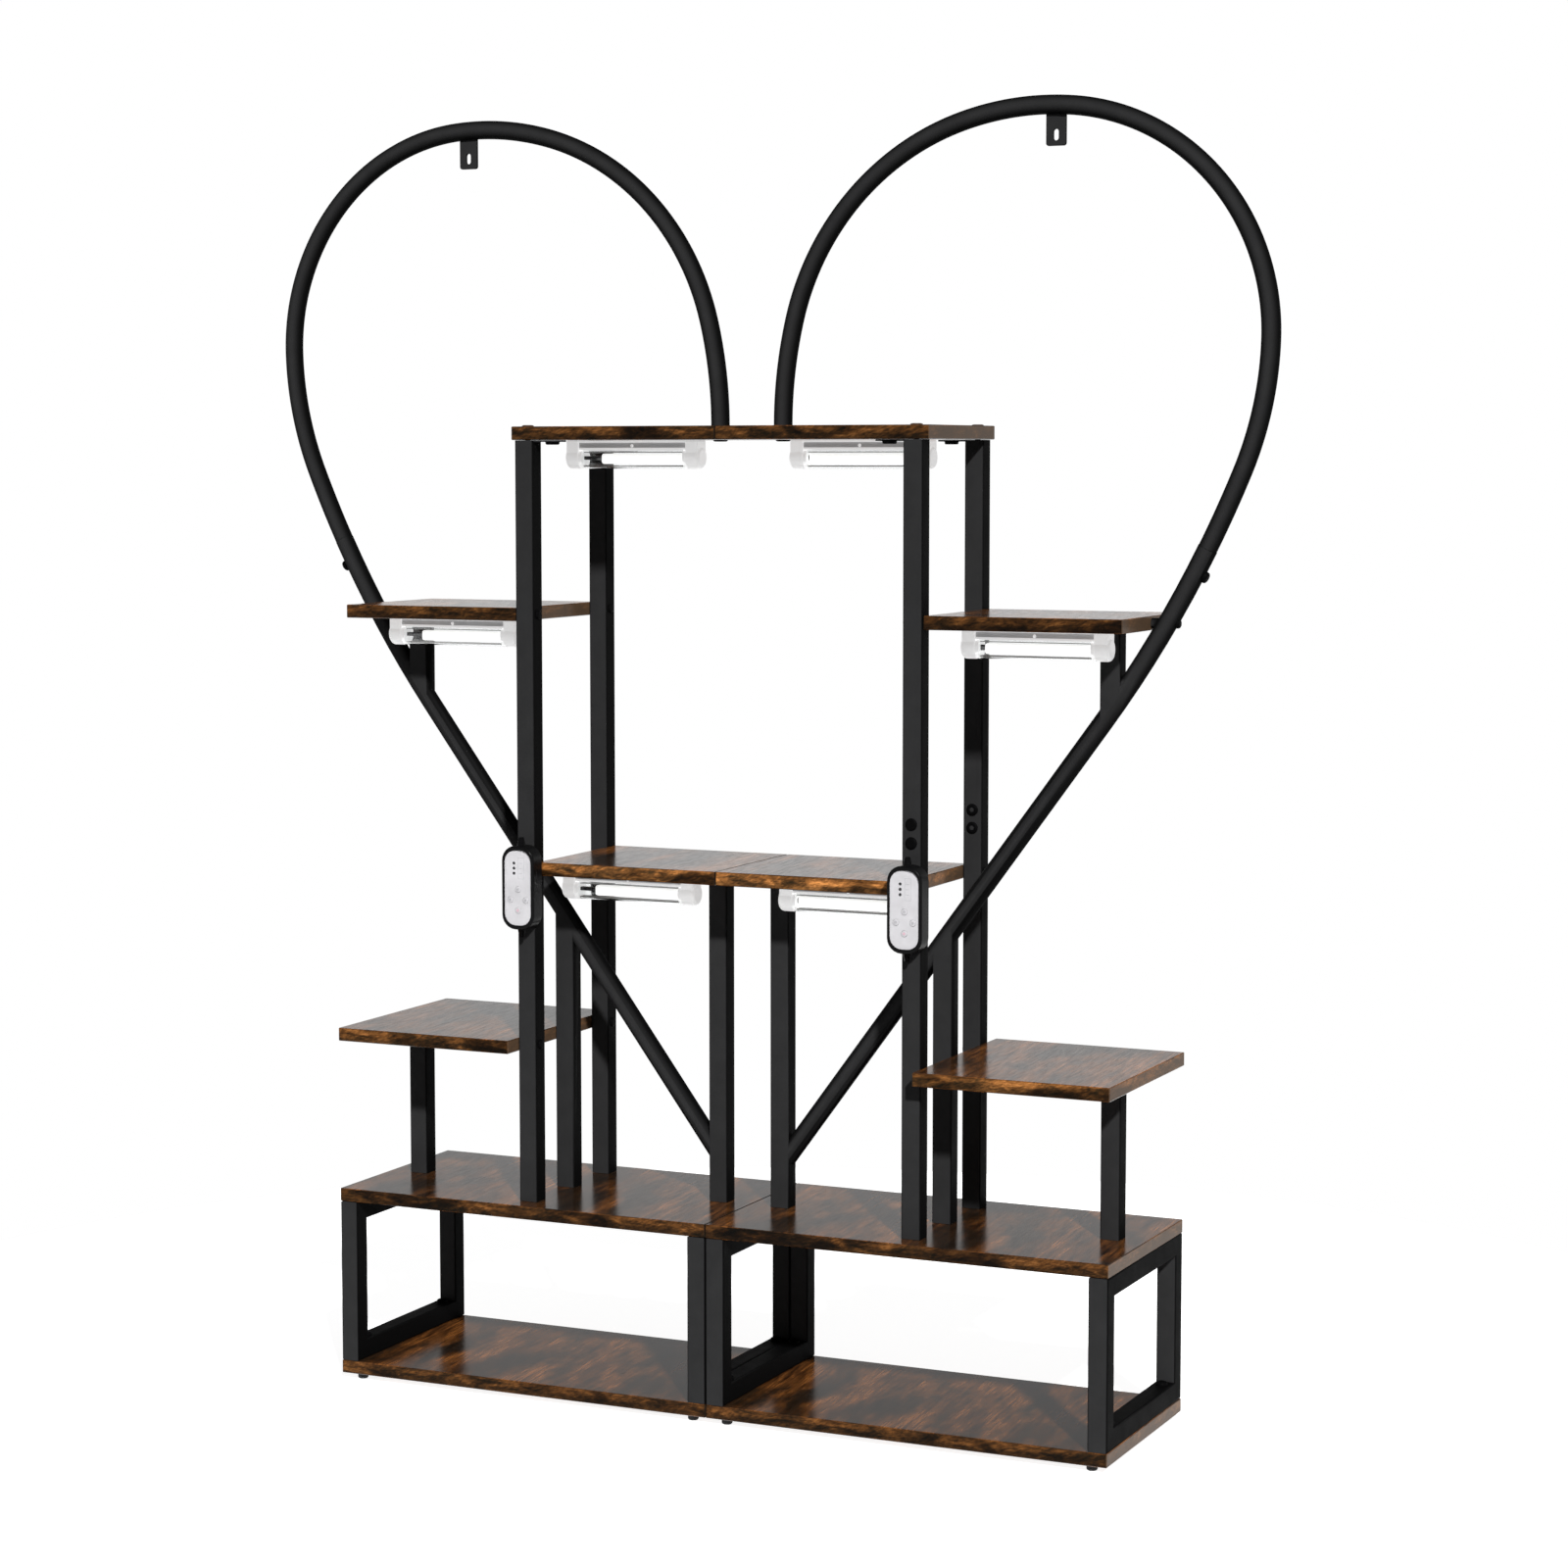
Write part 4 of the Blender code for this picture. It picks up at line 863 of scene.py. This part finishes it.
def light_housing(name, low, high, place):
    """End caps, rail, lips and pins, at the (y, z) place of the housing's top."""
    y, top = place
    bm = bmesh.new()
    for edge, inward in ((low.x, 1), (high.x, -1)):
        lathe(bm, Vector((edge, y, top - CAP_DROP)), (inward, 0, 0), CAP_RINGS, CAP_STEPS)
        start, stop = sorted((edge + inward * CAP_LIP, edge + inward * CAP_LENGTH))
        bar(bm, start, stop, place, CAP_BAR)
    caps = piece(f"{name}_caps", bm, CAP_PAINTED_GLOW, weighted=True)
    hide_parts(f"{name}_housing")

    start = low.x + CAP_LENGTH - BAR_REACH
    stop = high.x - CAP_LENGTH + BAR_REACH
    bm = bmesh.new()
    bar(bm, start, stop, place, RAIL_BAR)
    piece(f"{name}_rail", bm, RAIL_PAINTED_GLOW, weighted=True)
    bm = bmesh.new()
    for shape in LIP_BARS:
        bar(bm, start, stop, place, shape)
    piece(f"{name}_lips", bm, CAP_PAINTED_GLOW, weighted=True)

    bm = bmesh.new()
    for face in (-1, 1):
        spot = Vector(((low.x + high.x) / 2, y + face * RAIL_BAR[0], top - PIN_DROP))
        lathe(bm, spot, (0, face, 0), PIN_RINGS, PIN_STEPS)
    piece(f"{name}_pin", bm, CAP_PAINTED_GLOW)


def light_tube(name, start, stop, place, lead):
    """Clear tube with its diffuser, strip edges and lead, at the (y, z) place of its axis."""
    bm = bmesh.new()
    bar(bm, start + lead, stop - STRIP_INSET, place, DIFFUSER_BAR)
    piece(f"{name}_diffuser", bm, GLOW, weighted=True)

    bm = bmesh.new()
    for shape in STRIP_BARS:
        bar(bm, start + STRIP_INSET, stop - STRIP_INSET, place, shape)
    piece(f"{name}_strip_edges", bm, LINE)

    bm = bmesh.new()
    shape = LONG_LEAD_BAR if lead > LONG_LEAD else SHORT_LEAD_BAR
    bar(bm, start + LEAD_SPAN[0], start + lead + LEAD_SPAN[1], place, shape)
    bar(bm, start + SOCKET_SPAN[0], start + SOCKET_SPAN[1], place, SOCKET_BAR)
    piece(f"{name}_lead", bm, LENS, weighted=True)

    bm = bmesh.new()
    length = stop - start
    rings = ((0.0, CLEAR_OUTER), (length, CLEAR_OUTER), (length, CLEAR_INNER), (0.0, CLEAR_INNER))
    lathe(bm, Vector((start, *place)), (1, 0, 0), rings, CLEAR_STEPS, capped=False)
    tube = piece(f"{name}_tube", bm, CLEAR, angle=CLEAR_SHARP)
    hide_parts(f"{name}_cover")


def grow_light(word, label):
    name = f"{word}_{label}_light"
    low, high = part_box(f"{name}_housing")
    y = (low.y + high.y) / 2
    light_housing(name, low, high, (y, high.z))
    ends = (low.x + CAP_LENGTH, high.x - CAP_LENGTH)
    light_tube(name, *ends, (y, high.z - TUBE_DROP), LEAD_LENGTHS[f"{word}_{label}"])


# Controllers: the dots and the ruled scale, from the middle of the face

PANEL_LIFT = 0.0220
PANEL_STEP = 0.0057
DOT_X = -0.0048
DOT_SINK = 0.0004
DOT_RINGS = ((0.0, 0.0017), (0.0005, 0.0017), (0.0008, 0.0012), (0.0009, 0.0004))
DOT_STEPS = 24
SCALE_X = 0.0040
SCALE_HALF = (0.0036, 0.0117)
SCALE_LINE = 0.0004
TICK_X = 0.0034
TICK_SIZE = (0.0044, 0.0007)
PRINT_SINK = 0.0003
PRINT_EASE = 0.00005
TICK_RISE = 0.00012
LINE_RISE = 0.00010

# Keys: the last rings of a cap are taken from its front
KEY_FLANGE = ((0.0, 0.0041), (0.0002, 0.0043), (0.0009, 0.0043), (0.0010, 0.0034))
KEY_FRONT = ((-0.0006, 0.0034), (-0.0002, 0.0032), (0.0, 0.0026), (-0.0001, 0.0010))
KEY_STEPS = 40
MARK_RISE = 0.00006
MARK_SINK = 0.0002
MARK_EASE = 0.00003
MARK_STEPS = 24

# Rings of the key marks: radius, width, and start and end in degrees
MARK_RINGS = {
    "power": ((0.0012, 0.0004, 125, 415),),
    "timer": ((0.0012, 0.0003, 0, 359.9),),
    "mode": (),
    "dimmer": ((0.0012, 0.0005, 0, 359.9), (0.0004, 0.0004, 0, 359.9)),
}

# Strokes of the key marks: x and z from the key's middle, width and height
MARK_STROKES = {
    "power": ((0.0, 0.0011, 0.0004, 0.0013),),
    "timer": ((0.0, 0.0004, 0.0003, 0.0009), (0.0003, 0.0, 0.0007, 0.0003)),
    "mode": tuple((0.0, lift, 0.0022, 0.0004) for lift in (-0.0009, 0.0, 0.0009)),
    "dimmer": (),
}


def stroke(bm, spot, size, rise, sink, ease):
    """Thin bar of print around a spot on a surface that looks to the front."""
    wide, tall = size
    low = (spot.x - wide / 2, spot.y - rise, spot.z - tall / 2)
    slab(bm, low, (spot.x + wide / 2, spot.y + sink, spot.z + tall / 2), ease, 1)


def ring_mark(bm, spot, radius, width, start, stop):
    """Ring of print around a spot on a key's front."""
    loops = []
    for step in range(MARK_STEPS + 1):
        angle = math.radians(start + (stop - start) * step / MARK_STEPS)
        loop = []
        for way, lift in ((-1, MARK_SINK), (1, MARK_SINK), (1, -MARK_RISE), (-1, -MARK_RISE)):
            reach = radius + way * width / 2
            offset = Vector((reach * math.cos(angle), lift, reach * math.sin(angle)))
            loop.append(bm.verts.new(spot + offset))
        loops.append(loop)
    bridge(bm, loops)


def controller(word):
    refine(f"{word}_controller_casing", CASING, CASING_SHARP)
    refine(f"{word}_controller_face", FACE, SHARP)
    panel = middle_of(f"{word}_controller_face") + Vector((0, 0, PANEL_LIFT))
    panel.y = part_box(f"{word}_controller_face")[0].y
    heights = [step * PANEL_STEP for step in (-1, 0, 1)]
    bm = bmesh.new()
    for lift in heights:
        lathe(bm, panel + Vector((DOT_X, DOT_SINK, lift)), (0, -1, 0), DOT_RINGS, DOT_STEPS)
    piece(f"{word}_indicator_lenses", bm, LENS)

    bm = bmesh.new()
    for lift in heights:
        spot = panel + Vector((TICK_X, 0, lift))
        stroke(bm, spot, TICK_SIZE, TICK_RISE, PRINT_SINK, PRINT_EASE)
    half_x, half_z = SCALE_HALF
    flat = (2 * half_x + SCALE_LINE, SCALE_LINE)
    tall = (SCALE_LINE, 2 * half_z + SCALE_LINE)
    for x, z, size in ((0, half_z, flat), (half_x, 0, tall), (0, -half_z, flat), (-half_x, 0, tall)):
        stroke(bm, panel + Vector((SCALE_X + x, 0, z)), size, LINE_RISE, PRINT_SINK, PRINT_EASE)
    piece(f"{word}_scale_print", bm, PRINT, angle=PRINT_SHARP)


def button(key, label):
    """Key cap and its mark, riding on the button's own body."""
    low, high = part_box(key)
    centre = (low + high) / 2
    centre.y = high.y
    depth = high.y - low.y
    rings = KEY_FLANGE + tuple((depth + lift, radius) for lift, radius in KEY_FRONT)
    bm = bmesh.new()
    lathe(bm, centre, (0, -1, 0), rings, KEY_STEPS)
    made = piece(f"{key}_cap", bm, KEY, key)
    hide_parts(key)

    bm = bmesh.new()
    front = Vector((centre.x, low.y, centre.z))
    for shape in MARK_RINGS[label]:
        ring_mark(bm, front, *shape)
    for x, z, wide, tall in MARK_STROKES[label]:
        spot = front + Vector((x, 0, z))
        stroke(bm, spot, (wide, tall), MARK_RISE, MARK_SINK, MARK_EASE)
    look = MARK_WARM if label == "dimmer" else MARK
    piece(f"{key}_mark", bm, look, key, PRINT_SHARP)


# Levelling feet: the pad's rings, then the stud up to the foot's top

PAD_RINGS = (
    (0.0, 0.0045),
    (0.0004, 0.0051),
    (0.0016, 0.0060),
    (0.0028, 0.0060),
    (0.0031, 0.0057),
    (0.0034, 0.0060),
    (0.0062, 0.0060),
    (0.0067, 0.0055),
)
PAD_HEIGHT = 0.0067
STUD_RADIUS = 0.0030
PAD_STEPS = 36


def foot(name):
    low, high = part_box(name)
    centre = Vector(((low.x + high.x) / 2, (low.y + high.y) / 2, 0))
    bm = bmesh.new()
    rings = PAD_RINGS + ((PAD_HEIGHT, STUD_RADIUS), (high.z, STUD_RADIUS))
    lathe(bm, centre, UP, rings, PAD_STEPS)
    made = piece(f"{name}_pad", bm, RUBBER, name)
    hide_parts(name)


# Studio: a pale floor and a white world, a sun, and the photograph's camera

FLOOR_RADIUS = 1.3
FLOOR_DROP = 0.0004
FLOOR_STEPS = 96
FLOOR_GREY = 0.82
FLOOR_ROUGH = 0.9
FLOOR_GLOW = 0.88

# Height of a reflected ray over which the white it finds falls, and the world's light on the object
GLOSS_SPAN = (0.125, 0.29)
GLOSS_LEVELS = (1.0, 0.16)
SOFT_LIGHT = 0.15

# Sun: power, width in degrees and the way towards it
SUN_POWER = 4.0
SUN_ANGLE = 3.0
SUN_WAY = (0.502, -0.656, 0.564)

# Camera: lens in millimetres, shifts as shares of the frame, and turns in radians
SENSOR_WIDTH = 36.0
FOCAL_LENGTH = 81.157
SHIFT_X = 0.01325
SHIFT_Y = -0.00766
CLIP_END = 50.0
CAMERA_PLACE = (1.6634689, -3.5404773, 1.0562176)
YAW = 0.4360675
PITCH = 0.0885841
ROLL = -0.0007276


def seen_rays(tree):
    """Light path outputs, and 1 where a ray shows the background."""
    rays = node(tree, "ShaderNodeLightPath").outputs
    seen = maths(tree, "ADD", rays["Is Camera Ray"], rays["Is Glossy Ray"])
    return rays, maths(tree, "ADD", seen, rays["Is Transmission Ray"], clamp=True)


def pale_floor():
    """Look of the floor, which keeps the shadow and is lifted towards white where it is seen."""
    made, tree, shader = material("pale_floor")
    shader.inputs["Base Color"].default_value = (*grey(FLOOR_GREY), 1.0)
    shader.inputs["Roughness"].default_value = FLOOR_ROUGH
    shader.inputs["Specular IOR Level"].default_value = 0.0
    shader.inputs["Emission Color"].default_value = (*WHITE, 1.0)
    glow = maths(tree, "MULTIPLY", seen_rays(tree)[1], FLOOR_GLOW)
    tree.links.new(glow, shader.inputs["Emission Strength"])
    return made


def add_floor():
    mesh = bpy.data.meshes.new("studio_floor")
    bm = bmesh.new()
    bmesh.ops.create_circle(bm, cap_ends=True, radius=FLOOR_RADIUS, segments=FLOOR_STEPS)
    bm.to_mesh(mesh)
    bm.free()
    floor = bpy.data.objects.new("studio_floor", mesh)
    floor.location = (0, 0, -FLOOR_DROP)
    bpy.context.scene.collection.objects.link(floor)
    floor.data.materials.append(pale_floor())


def add_world():
    """White where it is seen, and a plain soft light elsewhere."""
    world = bpy.data.worlds.new("studio")
    world.use_nodes = True
    bpy.context.scene.world = world
    tree = world.node_tree
    back = tree.nodes["Background"]
    rays, seen = seen_rays(tree)
    way = node(tree, "ShaderNodeTexCoord").outputs["Generated"]
    way_parts = node(tree, "ShaderNodeSeparateXYZ", {0: way})
    band = span_map(tree, way_parts.outputs[2], GLOSS_SPAN, GLOSS_LEVELS)
    lit = maths(tree, "MULTIPLY_ADD", rays["Is Glossy Ray"], band, rays["Is Camera Ray"])
    lit = maths(tree, "ADD", lit, rays["Is Transmission Ray"])
    soft = maths(tree, "MULTIPLY", maths(tree, "SUBTRACT", 1.0, seen), SOFT_LIGHT)
    strength = maths(tree, "ADD", maths(tree, "MINIMUM", lit, 1.0), soft)
    back.inputs["Color"].default_value = (*WHITE, 1.0)
    tree.links.new(strength, back.inputs["Strength"])


def add_sun():
    lamp = bpy.data.lights.new("key_sun", "SUN")
    lamp.energy = SUN_POWER
    lamp.angle = math.radians(SUN_ANGLE)
    sun = bpy.data.objects.new("key_sun", lamp)
    sun.rotation_euler = Vector(SUN_WAY).to_track_quat("Z", "Y").to_euler()
    bpy.context.scene.collection.objects.link(sun)


def add_camera():
    """Camera at the photograph's viewing angle."""
    lens = bpy.data.cameras.new("photo_camera")
    lens.sensor_width = SENSOR_WIDTH
    lens.lens = FOCAL_LENGTH
    lens.shift_x = SHIFT_X
    lens.shift_y = SHIFT_Y
    lens.clip_end = CLIP_END
    camera = bpy.data.objects.new("photo_camera", lens)
    level = math.cos(PITCH)
    forward = Vector((-math.sin(YAW) * level, math.cos(YAW) * level, -math.sin(PITCH)))
    aim = forward.to_track_quat("-Z", "Y").to_matrix() @ Matrix.Rotation(ROLL, 3, "Z")
    camera.location = CAMERA_PLACE
    camera.rotation_euler = aim.to_euler()
    bpy.context.scene.collection.objects.link(camera)
    bpy.context.scene.camera = camera


# The stand, piece by piece
for number, (word, side) in enumerate(UNITS):
    for row, shelf in enumerate(SHELVES):
        across = UNIT_PITCH if side < 0 else 0.0
        shift = (across, 0.0, ROW_SHIFT * row + UNIT_SHIFT * number)
        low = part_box(f"{word}_{shelf}")[0].z
        look = wood_material(f"{word}_{shelf}_laminate", shift, EDGE_LIGHT_TONES[shelf][number], low)
        refine(f"{word}_{shelf}", look, BOARD_SHARP)
for word, side in UNITS:
    for name in STEEL_NODES:
        refine(f"{word}_{name}", STEEL, STEEL_SHARP)
    heart_arch(word, side)
    hanging_tab(word, side)
for word, side in UNITS:
    fasteners(word, side)
    joint_bolt(word, side)
for word, _ in UNITS:
    for label in LIGHTS:
        grow_light(word, label)
for word, _ in UNITS:
    controller(word)
    for label in BUTTONS:
        button(f"{word}_{label}_button", label)
for word, _ in UNITS:
    for where in FEET:
        foot(f"{word}_{where}_foot")

add_floor()
add_world()
add_sun()
add_camera()
bpy.context.scene.view_settings.view_transform = "Standard"
